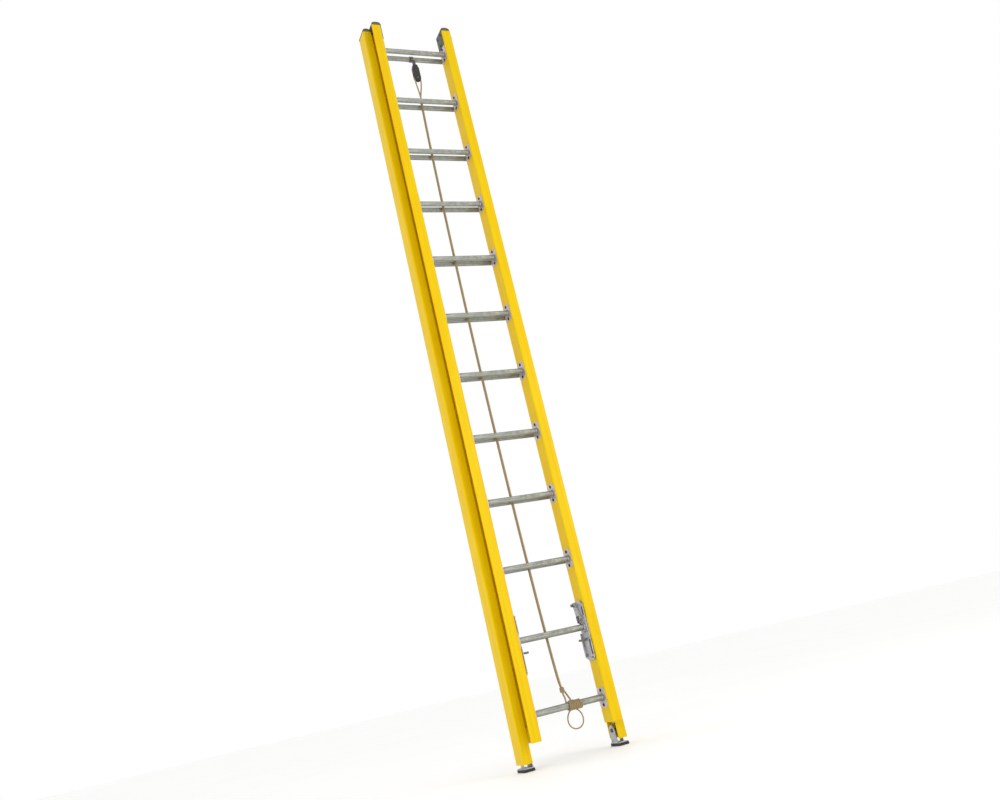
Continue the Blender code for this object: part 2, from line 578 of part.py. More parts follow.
def make_rope():
    radius = ROPE_DIAMETER / 2
    lift_top = (-STRAND_OFFSET, 0.0, SHEAVE_Z)
    lift = strand(lift_top, (0.0, 0.0, KNOT_Z + 0.0120 + GAP), LIFT_PLANE_Y, ROPE_BOW)
    add_part("rope_lift", tube_mesh(lift, radius), ROPE, lift_top, 60.0)

    over = [(STRAND_OFFSET * math.cos(angle), 0.0, SHEAVE_Z + STRAND_OFFSET * math.sin(angle))
            for angle in [math.pi * (1.0 - step / 9) for step in range(9)]]
    over[0] = (-STRAND_OFFSET, 0.0, SHEAVE_Z + 0.0019)
    hitch_top = BOTTOM_RUNG_Z + RUNG_RADIUS + ROPE_DIAMETER + 0.0030
    haul = strand((STRAND_OFFSET, 0.0, SHEAVE_Z), (0.0010, 0.0, hitch_top + 0.0700), HAUL_PLANE_Y, ROPE_BOW)
    foot = (HITCH_X - 0.0080, HAUL_PLANE_Y + 0.0080, hitch_top - 0.0010)
    last = haul[-1]
    ending = [tuple(a + (b - a) * step / 4 for a, b in zip(last, foot)) for step in range(1, 5)]
    add_part("rope_haul", tube_mesh(over + haul + ending, radius), ROPE, (0.0, 0.0, SHEAVE_Z), 60.0)

    inner = RUNG_RADIUS + GAP
    outer = RUNG_RADIUS + ROPE_DIAMETER

    def winding(half):
        return [(inner, half), (outer - 0.0020, half), (outer, half - 0.0020), (outer, 0.0020 - half),
                (outer - 0.0020, -half), (inner, -half)]

    wrap = turned_mesh(winding(WRAP_HALF_LENGTH), ROUND_STEPS, Matrix.Translation((WRAP_X, FLY_Y, BOTTOM_RUNG_Z)) @ TURN_TO_X)
    add_part("rope_wrap", wrap, ROPE, (WRAP_X, FLY_Y, BOTTOM_RUNG_Z), 50.0)

    knot = bmesh.new()
    bmesh.ops.create_uvsphere(knot, u_segments=12, v_segments=8, radius=0.0085)
    bmesh.ops.scale(knot, vec=(1.2, 1.0, 1.4), verts=knot.verts)
    bmesh.ops.translate(knot, vec=(0.0, LIFT_PLANE_Y - 0.0003, KNOT_Z), verts=knot.verts)
    mesh = bpy.data.meshes.new("knot")
    knot.to_mesh(mesh)
    knot.free()
    tail = tube_mesh([(0.0, LIFT_PLANE_Y, KNOT_Z), (0.0030, -0.0070, KNOT_Z - 0.0200),
                      (0.0100, -0.0095, BOTTOM_RUNG_Z + 0.0250)], radius)
    add_part("rope_knot", join(mesh, tail, "rope_knot"), ROPE, (0.0, LIFT_PLANE_Y, KNOT_Z), 50.0)

    hitch = turned_mesh(winding(HITCH_HALF_LENGTH), ROUND_STEPS, Matrix.Translation((HITCH_X, BASE_Y, BOTTOM_RUNG_Z)) @ TURN_TO_X)
    ring = [(HITCH_X + LOOP_HALF_WIDTH * math.sin(angle), BASE_Y,
             BOTTOM_RUNG_Z - outer - LOOP_HALF_HEIGHT + 0.0030 + LOOP_HALF_HEIGHT * math.cos(angle))
            for angle in [2 * math.pi * step / 20 for step in range(20)]]
    curve = bpy.data.curves.new("loop", "CURVE")
    curve.dimensions = "3D"
    curve.bevel_depth = radius
    curve.bevel_resolution = 2
    spline = curve.splines.new("POLY")
    spline.points.add(len(ring) - 1)
    for point, place in zip(spline.points, ring):
        point.co = (*place, 1.0)
    spline.use_cyclic_u = True
    source = bpy.data.objects.new("loop", curve)
    bpy.context.scene.collection.objects.link(source)
    add_part("rope_hitch", join(hitch, world_mesh(source), "rope_hitch"), ROPE,
             (HITCH_X, BASE_Y, BOTTOM_RUNG_Z), 50.0)


make_rails()
make_rungs("base", BASE_WEB_INNER, BASE_Y)
make_rungs("fly", FLY_WEB_INNER, FLY_Y)
make_caps()
make_guides()
for side_name, side_sign in SIDES:
    make_shoe(side_name, side_sign)
    make_lock(side_name, side_sign)
make_pulley()
make_rope()
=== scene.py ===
"""Detailed surfaces, rope and stage for a two-section fibreglass extension ladder.

Everything is in metres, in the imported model's own frame: Z is up along the rails, the climbing
side faces -Y, and the shoes stand on Z = 0.
"""
import math

import bmesh
import bpy
import numpy as np
from bpy.props import FloatProperty, FloatVectorProperty, IntProperty, PointerProperty
from mathutils import Matrix, Vector


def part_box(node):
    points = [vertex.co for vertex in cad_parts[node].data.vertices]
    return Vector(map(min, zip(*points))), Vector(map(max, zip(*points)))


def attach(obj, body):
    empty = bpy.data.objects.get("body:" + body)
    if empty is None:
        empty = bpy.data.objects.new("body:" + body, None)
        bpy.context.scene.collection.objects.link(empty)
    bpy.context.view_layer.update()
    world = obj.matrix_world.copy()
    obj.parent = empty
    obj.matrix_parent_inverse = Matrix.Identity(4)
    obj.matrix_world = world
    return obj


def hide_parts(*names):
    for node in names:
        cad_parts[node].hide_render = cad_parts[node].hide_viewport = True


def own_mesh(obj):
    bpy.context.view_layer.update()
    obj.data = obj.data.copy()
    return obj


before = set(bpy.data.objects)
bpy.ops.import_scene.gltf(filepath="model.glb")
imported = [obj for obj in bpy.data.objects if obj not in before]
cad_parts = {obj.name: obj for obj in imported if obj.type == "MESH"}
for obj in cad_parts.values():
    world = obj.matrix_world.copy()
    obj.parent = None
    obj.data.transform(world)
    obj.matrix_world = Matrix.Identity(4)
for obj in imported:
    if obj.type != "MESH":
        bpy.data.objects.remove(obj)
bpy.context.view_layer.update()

bl_info = {
    "name": "Extension Ladder",
    "version": (1, 0, 0),
    "blender": (4, 5, 0),
    "location": "3D View > Sidebar > Ladder",
    "description": "Builds the visible pieces of a two-section fibreglass extension ladder",
    "category": "Add Mesh",
}


# Where things are, read from the frame or repeated from the part

SIDES = ("left", "right")
SECTIONS = ("base", "fly")
RUNG_COUNT = 12


def node_middle(name):
    low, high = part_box(name)
    return (low + high) / 2


RUNG_Z = [node_middle("base_rung_%02d" % number).z for number in range(1, RUNG_COUNT + 1)]
SECTION_Y = {section: node_middle(section + "_rung_01").y for section in SECTIONS}
RUNG_HALF = {section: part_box(section + "_rung_01")[1].x for section in SECTIONS}
FLY_WEB_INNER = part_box("fly_rail_right")[0].x
FLY_FLANGE_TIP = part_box("fly_rail_right")[1].x
BASE_WEB_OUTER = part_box("base_rail_right")[1].x
BASE_FLANGE_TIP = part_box("base_rail_right")[0].x
RAIL_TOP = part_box("base_rail_right")[1].z
CAP_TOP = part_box("base_cap_right")[1].z
RAIL_WALL = 0.0045
RAIL_HALF_DEPTH = 0.0405
BASE_WEB_INNER = BASE_WEB_OUTER - RAIL_WALL
WEB_INNER = {"base": BASE_WEB_INNER, "fly": FLY_WEB_INNER}
RUNG_RADIUS = 0.0127
RUNG_WALL = 0.0022
CAP_ROUNDING = 0.0190
CAP_PROUD = 0.0018
SHOE_PIVOT = Vector((0.2442, SECTION_Y["base"], 0.0660))
HOOK_PIVOT = Vector((0.1576, 0.0010, RUNG_Z[1] + 0.1000))
HOOK_STORED = Matrix.Rotation(math.radians(-40.0), 4, "X")
FINGER_ARM = Vector((0.0, SECTION_Y["base"] - HOOK_PIVOT.y, -0.0500))
FINGER_PIVOT = Vector((0.1503, HOOK_PIVOT.y, HOOK_PIVOT.z)) + HOOK_STORED @ FINGER_ARM
SHEAVE_Z = RUNG_Z[-1] - 0.1400
STRAND_OFFSET = 0.0160
STRAND_BOW = 0.0300
LIFT_PLANE_Y = -0.0050
HAUL_PLANE_Y = 0.0093
KNOT_Z = 0.2780
WRAP_X = 0.0300
HITCH_X = 0.0470
LOOP_HALF_WIDTH = 0.0400
LOOP_HALF_HEIGHT = 0.0410

CAMERA_PLACE = Vector((-1.7850, -3.7505, 0.3670))
CAMERA_RIGHT = Vector((0.9041, -0.3653, -0.2216))
CAMERA_UP = Vector((0.0869, -0.3506, 0.9325))
CAMERA_BACK = Vector((-0.4183, -0.8623, -0.2852))
CAMERA_LENS_MM = 33.26


def linear(code):
    """Turns an sRGB hex colour into linear red, green and blue."""
    channels = [int(code[index:index + 2], 16) / 255 for index in (1, 3, 5)]
    return tuple(c / 12.92 if c <= 0.04045 else ((c + 0.055) / 1.055) ** 2.4 for c in channels)


def length_property(name, description, default, low, high):
    return FloatProperty(name=name, description=description, default=default, min=low, max=high,
                         unit="LENGTH")


def colour_property(name, description, code):
    return FloatVectorProperty(name=name, description=description, subtype="COLOR", size=3,
                               min=0.0, max=1.0, default=linear(code))


class LadderSizes(bpy.types.PropertyGroup):
    """Sizes that change how the ladder's small parts look."""

    rope_diameter: length_property(
        "Rope diameter", "Diameter of the laid rope over its strands", 0.0080, 0.004, 0.012)
    rope_lay: length_property(
        "Rope lay", "Length in which one strand goes once round the rope", 0.0280, 0.01, 0.08)
    serration_depth: length_property(
        "Serration depth", "Depth of the grip grooves along a rung", 0.0006, 0.0, 0.0015)
    serration_count: IntProperty(
        name="Serrations", description="Number of grip grooves round a rung",
        default=28, min=12, max=48)
    plate_height: length_property(
        "Rung plate height", "Height of the plate that ties a rung to its rail", 0.0820, 0.05, 0.1)
    plate_width: length_property(
        "Rung plate width", "Width of the plate that ties a rung to its rail", 0.0680, 0.03, 0.072)
    rivet_spacing: length_property(
        "Rivet offset", "Distance of a plate's rivets from the rung's middle", 0.0310, 0.02, 0.04)


class LadderColours(bpy.types.PropertyGroup):
    """Colours of the ladder's materials."""

    fibreglass: colour_property("Fibreglass", "Pigmented resin of the rails", "#E0BE00")
    fibreglass_shade: colour_property(
        "Fibreglass, glass-rich", "Where glass strands lie close under the surface", "#D2B000")
    rung: colour_property("Rungs", "Mill-finish aluminium of the rungs", "#A2A49B")
    plate: colour_property("Rung plates", "Stamped aluminium plates at the rung ends", "#D2C8CA")
    casting: colour_property("Castings", "Die-cast aluminium of locks and shoes", "#C4C3C6")
    zinc: colour_property("Zinc plate", "Plated steel of bolts, pins and springs", "#7C7873")
    # The rivet heads are real, but their near-black colour is painted shade for the shadow above and below each
    # rung end.
    rivet: colour_property("Rivets", "Blackened steel of the rung plates' rivets", "#2E241C")
    # In the lock slots this nylon colour is painted shade: the dark inserts there stand in for the shadow inside
    # the slots.
    nylon: colour_property("Nylon", "Moulded nylon of the pulley and the wear strips", "#1D1C1B")
    cap: colour_property("Caps", "Moulded end caps", "#4C5046")
    rubber: colour_property("Rubber", "Shoe pads", "#2A2A28")
    rope: colour_property("Rope", "Fibres of the rope", "#A8936A")
    rope_dark: colour_property("Rope, weathered", "Dirt between the rope's yarns", "#6E5C3E")
    floor: colour_property("Floor", "Studio floor", "#FCFCFB")


# Materials

def add_node(tree, kind, settings=None, links=None):
    """Adds a node, sets its properties and unlinked sockets, and links sockets into it."""
    made = tree.nodes.new(kind)
    for key, value in (settings or {}).items():
        if isinstance(key, str) and hasattr(made, key):
            setattr(made, key, value)
        else:
            made.inputs[key].default_value = value
    for key, source in (links or {}).items():
        tree.links.new(source, made.inputs[key])
    return made


def new_material(name, colour, roughness, metallic=0.0, **constants):
    """A Principled material; returns it with its tree and shader."""
    material = bpy.data.materials.new(name)
    material.use_nodes = True
    tree = material.node_tree
    shader = tree.nodes["Principled BSDF"]
    shader.inputs["Base Color"].default_value = (*colour, 1.0)
    shader.inputs["Roughness"].default_value = roughness
    shader.inputs["Metallic"].default_value = metallic
    for key, value in constants.items():
        shader.inputs[key.replace("_", " ")].default_value = value
    material.diffuse_color = (*colour, 1.0)
    return material, tree, shader


def pattern(tree, per_metre, detail, roughness):
    """Noise over a piece, given its number of features per metre on each axis."""
    place = add_node(tree, "ShaderNodeTexCoord")
    scaled = add_node(tree, "ShaderNodeMapping", {"Scale": per_metre}, {"Vector": place.outputs["Object"]})
    settings = {"Scale": 1.0, "Detail": detail, "Roughness": roughness}
    return add_node(tree, "ShaderNodeTexNoise", settings, {"Vector": scaled.outputs[0]}).outputs["Fac"]


def tinted(tree, under, over, where, low, high, amount):
    """Lays a colour over another where a pattern rises from low to high."""
    span = {"From Min": low, "From Max": high, "To Min": 0.0, "To Max": amount}
    factor = add_node(tree, "ShaderNodeMapRange", span, {"Value": where}).outputs["Result"]
    settings, links = {"data_type": "RGBA", 7: (*over, 1.0)}, {0: factor}
    if isinstance(under, bpy.types.NodeSocket):
        links[6] = under
    else:
        settings[6] = (*under, 1.0)
    return add_node(tree, "ShaderNodeMix", settings, links).outputs[2]


def surface(tree, shader, colour, dull, dull_span, height, strength, distance):
    """Feeds the shader a colour, a roughness that follows one pattern and a relief from another."""
    span = dict(zip(("From Min", "From Max", "To Min", "To Max"), dull_span))
    rough = add_node(tree, "ShaderNodeMapRange", span, {"Value": dull})
    bump = add_node(tree, "ShaderNodeBump", {"Strength": strength, "Distance": distance}, {"Height": height})
    for socket, source in (("Base Color", colour), ("Roughness", rough.outputs["Result"]),
                           ("Normal", bump.outputs[0])):
        tree.links.new(source, shader.inputs[socket])


def pultruded_fibreglass(colours):
    """Polyester and glass rovings pulled through a hot die, pigmented yellow.

    It shows fine strands along its length, a semi-gloss die skin, faint cloudy resin and dull
    scuffs on its edges.
    """
    material, tree, shader = new_material(
        "pultruded_yellow_fibreglass", colours.fibreglass, 0.40, IOR=1.52, Specular_IOR_Level=0.1)
    # Rovings are about 2 mm wide and run the rail's length; drawn at 3 mm so that they show
    strands = pattern(tree, (330.0, 330.0, 1.6), 4.0, 0.6)
    # Resin-rich clouds, 60 to 150 mm long
    clouds = pattern(tree, (18.0, 18.0, 5.0), 2.0, 0.5)
    # Broad bands left by the mat under the skin, 12 mm wide
    bands = pattern(tree, (80.0, 80.0, 0.35), 2.0, 0.5)
    # Scuffs a few millimetres across, from stacking and carrying
    scuffs = pattern(tree, (90.0, 90.0, 30.0), 6.0, 0.7)
    veil = tinted(tree, colours.fibreglass, colours.fibreglass_shade, strands, 0.35, 0.65, 0.75)
    warm = tinted(tree, veil, linear("#E2AC00"), bands, 0.45, 0.70, 0.55)
    cloudy = tinted(tree, warm, linear("#E6CC10"), clouds, 0.50, 0.80, 0.35)
    worn = tinted(tree, cloudy, linear("#B89A20"), scuffs, 0.66, 0.74, 0.35)
    surface(tree, shader, worn, scuffs, (0.45, 0.75, 0.30, 0.52), strands, 0.3, 0.0003)
    return material


def brushed_metal(name, colour, dirt, roughness, grain, bump_height, soil=0.45):
    """Bare metal with a directional grain, cloudy oxide and dirt in its hollows."""
    material, tree, shader = new_material(name, colour, roughness, 1.0)
    lines = pattern(tree, grain, 4.0, 0.6)
    oxide = pattern(tree, (45.0, 45.0, 45.0), 4.0, 0.6)
    darker = tuple(c * 0.72 for c in colour)
    base = tinted(tree, colour, darker, lines, 0.35, 0.65, 0.5)
    soiled = tinted(tree, base, dirt, oxide, 0.48, 0.75, soil)
    surface(tree, shader, soiled, oxide, (0.35, 0.70, roughness - 0.08, roughness + 0.14),
            lines, 0.4, bump_height)
    return material


def extruded_rung_aluminium(colours):
    """6061 aluminium as extruded: die lines along the rung and a soft grey oxide."""
    # Die lines 0.5 mm apart round the rung, drawn at 1 mm so that they show
    return brushed_metal("extruded_mill_aluminium", colours.rung, linear("#6F7370"), 0.42,
                         (3.0, 900.0, 900.0), 0.0002)


def stamped_plate_aluminium(colours):
    """Cold-rolled aluminium plate, stamped: a light satin with short rolling lines."""
    return brushed_metal("stamped_aluminium_plate", colours.plate, linear("#8A8480"), 0.48,
                         (300.0, 500.0, 20.0), 0.0002, 0.3)


def zinc_plated_steel(colours):
    """Cold-headed steel with bright zinc: small crystals and a faint yellow passivation."""
    return brushed_metal("zinc_plated_steel", colours.zinc, linear("#5E5646"), 0.38,
                         (400.0, 400.0, 400.0), 0.0001)


def near_black_rivets_painted_shade(colours):
    """Steel rivet heads, dull and rubbed on their domes, coloured almost black as painted shade for the shadow
    above and below each rung end.
    """
    return brushed_metal("rivet_heads_painted_shade", colours.rivet, linear("#2A211B"), 0.55,
                         (500.0, 500.0, 500.0), 0.0001)


def die_cast_aluminium(colours):
    """A380 aluminium, die cast and tumbled: an even grain with dull, darker hollows."""
    material, tree, shader = new_material("die_cast_aluminium", colours.casting, 0.52, 1.0)
    # Tumbling grit leaves pits about 0.5 mm across, drawn at 1 mm so that they show
    pits = pattern(tree, (900.0, 900.0, 900.0), 3.0, 0.6)
    flow = pattern(tree, (40.0, 40.0, 40.0), 5.0, 0.65)
    tone = tinted(tree, colours.casting, linear("#85888B"), flow, 0.40, 0.70, 0.7)
    surface(tree, shader, tone, pits, (0.3, 0.7, 0.44, 0.64), pits, 0.5, 0.0002)
    return material


def moulded_plastic(name, colour, wear, roughness, grain_size):
    """Injection-moulded plastic with a spark-eroded grain and pale rubbed patches."""
    material, tree, shader = new_material(name, colour, roughness, IOR=1.53)
    grain = pattern(tree, (1.0 / grain_size,) * 3, 2.0, 0.5)
    rubbed = pattern(tree, (60.0, 60.0, 60.0), 5.0, 0.7)
    tone = tinted(tree, colour, wear, rubbed, 0.50, 0.75, 0.7)
    surface(tree, shader, tone, rubbed, (0.35, 0.7, roughness + 0.1, roughness - 0.08), grain, 0.5, 0.0002)
    return material


def moulded_black_nylon(colours):
    """Nylon 6, moulded black: a waxy skin that rubs slightly grey."""
    return moulded_plastic("moulded_black_nylon", colours.nylon, linear("#3B3A38"), 0.42, 0.0012)


def moulded_yellow_nylon(colours):
    """Nylon 6, moulded in the rails' yellow: waxy and slightly rubbed where it slides."""
    return moulded_plastic("moulded_yellow_nylon", colours.fibreglass_shade, linear("#C9A93A"), 0.45, 0.0012)


def moulded_end_cap(colours):
    """Polyethylene, moulded grey-green: a soft dull skin with lighter bruises."""
    return moulded_plastic("moulded_end_cap_plastic", colours.cap, linear("#6B6E62"), 0.55, 0.0015)


def moulded_tread_rubber(colours):
    """Moulded tread rubber: matt black with grey dust in its surface."""
    return moulded_plastic("moulded_tread_rubber", colours.rubber, linear("#55534E"), 0.82, 0.0010)


def laid_polyester_rope(colours):
    """Three-strand spun rope: fuzzy yarns that turn with the strands, dirtier in the grooves."""
    material, tree, shader = new_material("laid_tan_rope", colours.rope, 0.88)
    # Yarns are about 1 mm wide
    yarns = pattern(tree, (900.0, 900.0, 260.0), 3.0, 0.6)
    soil = pattern(tree, (30.0, 30.0, 4.0), 4.0, 0.6)
    tone = tinted(tree, colours.rope, colours.rope_dark, yarns, 0.35, 0.70, 0.75)
    aged = tinted(tree, tone, linear("#8C7C5C"), soil, 0.45, 0.75, 0.5)
    surface(tree, shader, aged, yarns, (0.3, 0.7, 0.80, 0.95), yarns, 0.6, 0.0004)
    return material


def sealed_studio_floor(colours):
    """Painted and sealed studio floor: pale, with the faintest mottling."""
    material, tree, shader = new_material("sealed_studio_floor", colours.floor, 0.65)
    mottle = pattern(tree, (0.8, 0.8, 0.8), 3.0, 0.5)
    tone = tinted(tree, colours.floor, linear("#FAFAF9"), mottle, 0.3, 0.7, 1.0)
    tree.links.new(tone, shader.inputs["Base Color"])
    return material


MATERIAL_MAKERS = {
    "fibreglass": pultruded_fibreglass,
    "rung_aluminium": extruded_rung_aluminium,
    "plate": stamped_plate_aluminium,
    "cast_aluminium": die_cast_aluminium,
    "zinc_steel": zinc_plated_steel,
    "rivet_steel_painted_shade": near_black_rivets_painted_shade,
    "nylon": moulded_black_nylon,
    "guide_nylon": moulded_yellow_nylon,
    "cap_plastic": moulded_end_cap,
    "rubber": moulded_tread_rubber,
    "rope": laid_polyester_rope,
    "floor": sealed_studio_floor,
}
MADE = {}


def finish_of(name):
    """The material of that name, made on first use."""
    if name not in MADE:
        MADE[name] = MATERIAL_MAKERS[name](bpy.context.scene.ladder_colours)
    return MADE[name]


# Mesh helpers

OUTLINE_TO_YZ = Matrix(((0, 0, 1, 0), (1, 0, 0, 0), (0, 1, 0, 0), (0, 0, 0, 1)))
OUTLINE_TO_XZ = Matrix(((1, 0, 0, 0), (0, 0, -1, 0), (0, 1, 0, 0), (0, 0, 0, 1)))
AXIS_TO_X = Matrix.Rotation(math.pi / 2, 4, "Y")
AXIS_TO_Y = Matrix.Rotation(-math.pi / 2, 4, "X")
HEAD_TO_LEFT = Matrix.Rotation(-math.pi / 2, 4, "Y")


def across(x):
    """Stands an outline in the YZ plane at a distance from the middle."""
    return Matrix.Translation((x, 0.0, 0.0)) @ OUTLINE_TO_YZ


def arc(centre, radius, start, end, steps):
    """Points on an arc, angles in degrees."""
    points = []
    for step in range(steps + 1):
        angle = math.radians(start + (end - start) * step / steps)
        points.append((centre[0] + radius * math.cos(angle), centre[1] + radius * math.sin(angle)))
    return points


def circle(centre, radius, steps=24):
    return arc(centre, radius, 0.0, 360.0 - 360.0 / steps, steps - 1)


def rounded_box_outline(low, high, radius, steps=4):
    (x0, y0), (x1, y1) = low, high
    return (arc((x1 - radius, y1 - radius), radius, 0, 90, steps)
            + arc((x0 + radius, y1 - radius), radius, 90, 180, steps)
            + arc((x0 + radius, y0 + radius), radius, 180, 270, steps)
            + arc((x1 - radius, y0 + radius), radius, 270, 360, steps))


def take(shape, name="shape"):
    """Turns a bmesh into a mesh."""
    bmesh.ops.recalc_face_normals(shape, faces=shape.faces)
    mesh = bpy.data.meshes.new(name)
    shape.to_mesh(mesh)
    shape.free()
    return mesh


def prism(outlines, thickness, matrix, bevel=0.0, segments=2, angle=35.0):
    """Extrudes a flat outline, with any further outlines as holes, and rounds its edges."""
    curve = bpy.data.curves.new("outline", "CURVE")
    curve.dimensions = "2D"
    curve.fill_mode = "BOTH"
    curve.extrude = thickness / 2
    for points in outlines:
        spline = curve.splines.new("POLY")
        spline.points.add(len(points) - 1)
        for point, place in zip(spline.points, points):
            point.co = (place[0], place[1], 0.0, 1.0)
        spline.use_cyclic_u = True
    source = bpy.data.objects.new("outline", curve)
    bpy.context.scene.collection.objects.link(source)
    evaluated = source.evaluated_get(bpy.context.evaluated_depsgraph_get())
    flat = bpy.data.meshes.new_from_object(evaluated)
    shape = bmesh.new()
    shape.from_mesh(flat)
    bpy.data.objects.remove(source, do_unlink=True)
    bpy.data.meshes.remove(flat)
    bmesh.ops.remove_doubles(shape, verts=shape.verts, dist=0.000001)
    bmesh.ops.dissolve_limit(shape, angle_limit=math.radians(1.0), verts=shape.verts, edges=shape.edges)
    bmesh.ops.recalc_face_normals(shape, faces=shape.faces)
    if bevel:
        edges = [e for e in shape.edges if len(e.link_faces) == 2
                 and e.calc_face_angle() > math.radians(angle)]
        bmesh.ops.bevel(shape, geom=edges, offset=bevel, offset_type="OFFSET", segments=segments,
                        profile=0.5, affect="EDGES", clamp_overlap=True)
    bmesh.ops.transform(shape, matrix=matrix, verts=shape.verts)
    return take(shape)


def turned(profile, steps, matrix, solid=False):
    """Turns a profile of (radius, height) points; its ends meet, or are closed with discs."""
    shape = bmesh.new()
    rings = []
    for radius, height in profile:
        rings.append([shape.verts.new((radius * math.cos(2 * math.pi * s / steps),
                                       radius * math.sin(2 * math.pi * s / steps), height))
                      for s in range(steps)])
    for first, second in zip(rings, rings[1:] + ([] if solid else rings[:1])):
        for s in range(steps):
            t = (s + 1) % steps
            shape.faces.new((first[s], first[t], second[t], second[s]))
    if solid:
        shape.faces.new(rings[0])
        shape.faces.new(rings[-1])
    bmesh.ops.transform(shape, matrix=matrix, verts=shape.verts)
    return take(shape)


def rounded_box(low, high, bevel, segments=2):
    shape = bmesh.new()
    bmesh.ops.create_cube(shape, size=1.0)
    size = Vector(high) - Vector(low)
    bmesh.ops.scale(shape, vec=size, verts=shape.verts)
    bmesh.ops.translate(shape, vec=(Vector(high) + Vector(low)) / 2, verts=shape.verts)
    bmesh.ops.bevel(shape, geom=list(shape.edges), offset=bevel, offset_type="OFFSET",
                    segments=segments, profile=0.5, affect="EDGES", clamp_overlap=True)
    return take(shape)


def together(meshes, name="joined"):
    """Gathers closed meshes into one."""
    shape = bmesh.new()
    for mesh in meshes:
        shape.from_mesh(mesh)
        bpy.data.meshes.remove(mesh)
    mesh = bpy.data.meshes.new(name)
    shape.to_mesh(mesh)
    shape.free()
    return mesh


def path_length(points):
    return sum((second - first).length for first, second in zip(points, points[1:]))


def smooth_path(points, spacing):
    """Points every spacing metres on a centripetal spline through the given ones."""
    given = [Vector(p) for p in points]
    ends = [given[0] * 2 - given[1]] + given + [given[-1] * 2 - given[-2]]
    path = []
    for p0, p1, p2, p3 in zip(ends, ends[1:], ends[2:], ends[3:]):
        steps = max(1, round((p2 - p1).length / spacing))
        for step in range(steps):
            t = step / steps
            path.append(0.5 * ((2 * p1) + (p2 - p0) * t + (2 * p0 - 5 * p1 + 4 * p2 - p3) * t ** 2
                               + (3 * p1 - p0 - 3 * p2 + p3) * t ** 3))
    return path + [given[-1]]


def swept(path, sides, reach, closed=False):
    """Sweeps a section along a path; reach gives its radius at an angle and a distance travelled."""
    count = len(path)
    tangents = []
    for index in range(count):
        before = path[index - 1] if closed or index else path[0]
        after = path[(index + 1) % count] if closed or index < count - 1 else path[-1]
        tangents.append((after - before).normalized())
    normal = tangents[0].orthogonal().normalized()
    travelled = 0.0
    vertices, faces = [], []
    for index, (point, tangent) in enumerate(zip(path, tangents)):
        if index:
            travelled += (point - path[index - 1]).length
            normal = (normal - tangent * normal.dot(tangent)).normalized()
        side = tangent.cross(normal)
        for s in range(sides):
            angle = 2 * math.pi * s / sides
            out = normal * math.cos(angle) + side * math.sin(angle)
            vertices.append(tuple(point + out * reach(angle, travelled)))
    for ring in range(count if closed else count - 1):
        following = (ring + 1) % count
        for s in range(sides):
            t = (s + 1) % sides
            faces.append((ring * sides + s, ring * sides + t, following * sides + t, following * sides + s))
    if not closed:
        faces.append(tuple(range(sides))[::-1])
        faces.append(tuple((count - 1) * sides + s for s in range(sides)))
    mesh = bpy.data.meshes.new("swept")
    mesh.from_pydata(vertices, [], faces)
    return mesh


def laid_rope(path, diameter, lay, closed=False):
    """A three-strand rope along a path, its strands turning with the lay."""
    strand_radius, strand_offset = diameter * 0.232, diameter * 0.268
    if closed:
        around = path_length(path + path[:1])
        lay = around / max(1, round(around / lay))

    def reach(angle, travelled):
        phase = 2 * math.pi * travelled / lay
        nearest = (angle - phase + math.pi / 3) % (2 * math.pi / 3) - math.pi / 3
        hidden = max(0.0, strand_radius ** 2 - (strand_offset * math.sin(nearest)) ** 2)
        return max(strand_offset * math.cos(nearest) + math.sqrt(hidden), 0.40 * diameter)

    return swept(path, 15, reach, closed)


def show(name, mesh, finish, body, replaces=(), location=(0.0, 0.0, 0.0), smooth=40.0):
    """Links a mesh as a named piece, finishes it and makes it move with its body."""
    if not mesh.materials:
        mesh.materials.append(finish_of(finish))
        mesh.shade_smooth()
        mesh.set_sharp_from_angle(angle=math.radians(smooth))
    piece = bpy.data.objects.new(name, mesh)
    piece.location = location
    bpy.context.scene.collection.objects.link(piece)
    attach(piece, body)
    if replaces:
        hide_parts(*replaces)
    return piece


def both_sides(name, meshes, finish, body, replaces=()):
    """Shows right-hand meshes as one piece and their mirror image as another; {} is the side."""
    right = together(meshes)
    left = right.copy()
    left.transform(Matrix.Diagonal((-1.0, 1.0, 1.0, 1.0)))
    left.flip_normals()
    for side, mesh in (("left", left), ("right", right)):
        show(name.format(side), mesh, finish, body.format(side), [node.format(side) for node in replaces])


def refinish(node, finish):
    """Gives a CAD node that stays its detailed material."""
    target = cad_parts[node]
    target.data.materials.clear()
    target.data.materials.append(finish_of(finish))


# Rope

def strand(top, bottom, plane_y, count):
    """Points down a slack strand that eases into its plane and bows sideways."""
    points = []
    for index in range(count):
        part = index / (count - 1)
        ease = min(1.0, part / 0.05)
        ease = ease * ease * (3.0 - 2.0 * ease)
        x = top[0] + (bottom[0] - top[0]) * ease
        x -= STRAND_BOW * ease * math.sin(math.pi * part) ** 0.6
        y = top[1] + (plane_y - top[1]) * ease
        points.append(Vector((x, y, top[2] + (bottom[2] - top[2]) * part)))
    return points


def coil_round_rung(x_start, x_end, centre_y, centre_z, radius, start, turns):
    """Points of a helix wound round a rung, start in degrees from +Y."""
    steps = int(14 * turns)
    points = []
    for step in range(steps + 1):
        part = step / steps
        angle = math.radians(start) - 2 * math.pi * turns * part
        points.append((x_start + (x_end - x_start) * part, centre_y + radius * math.cos(angle),
                       centre_z + radius * math.sin(angle)))
    return points


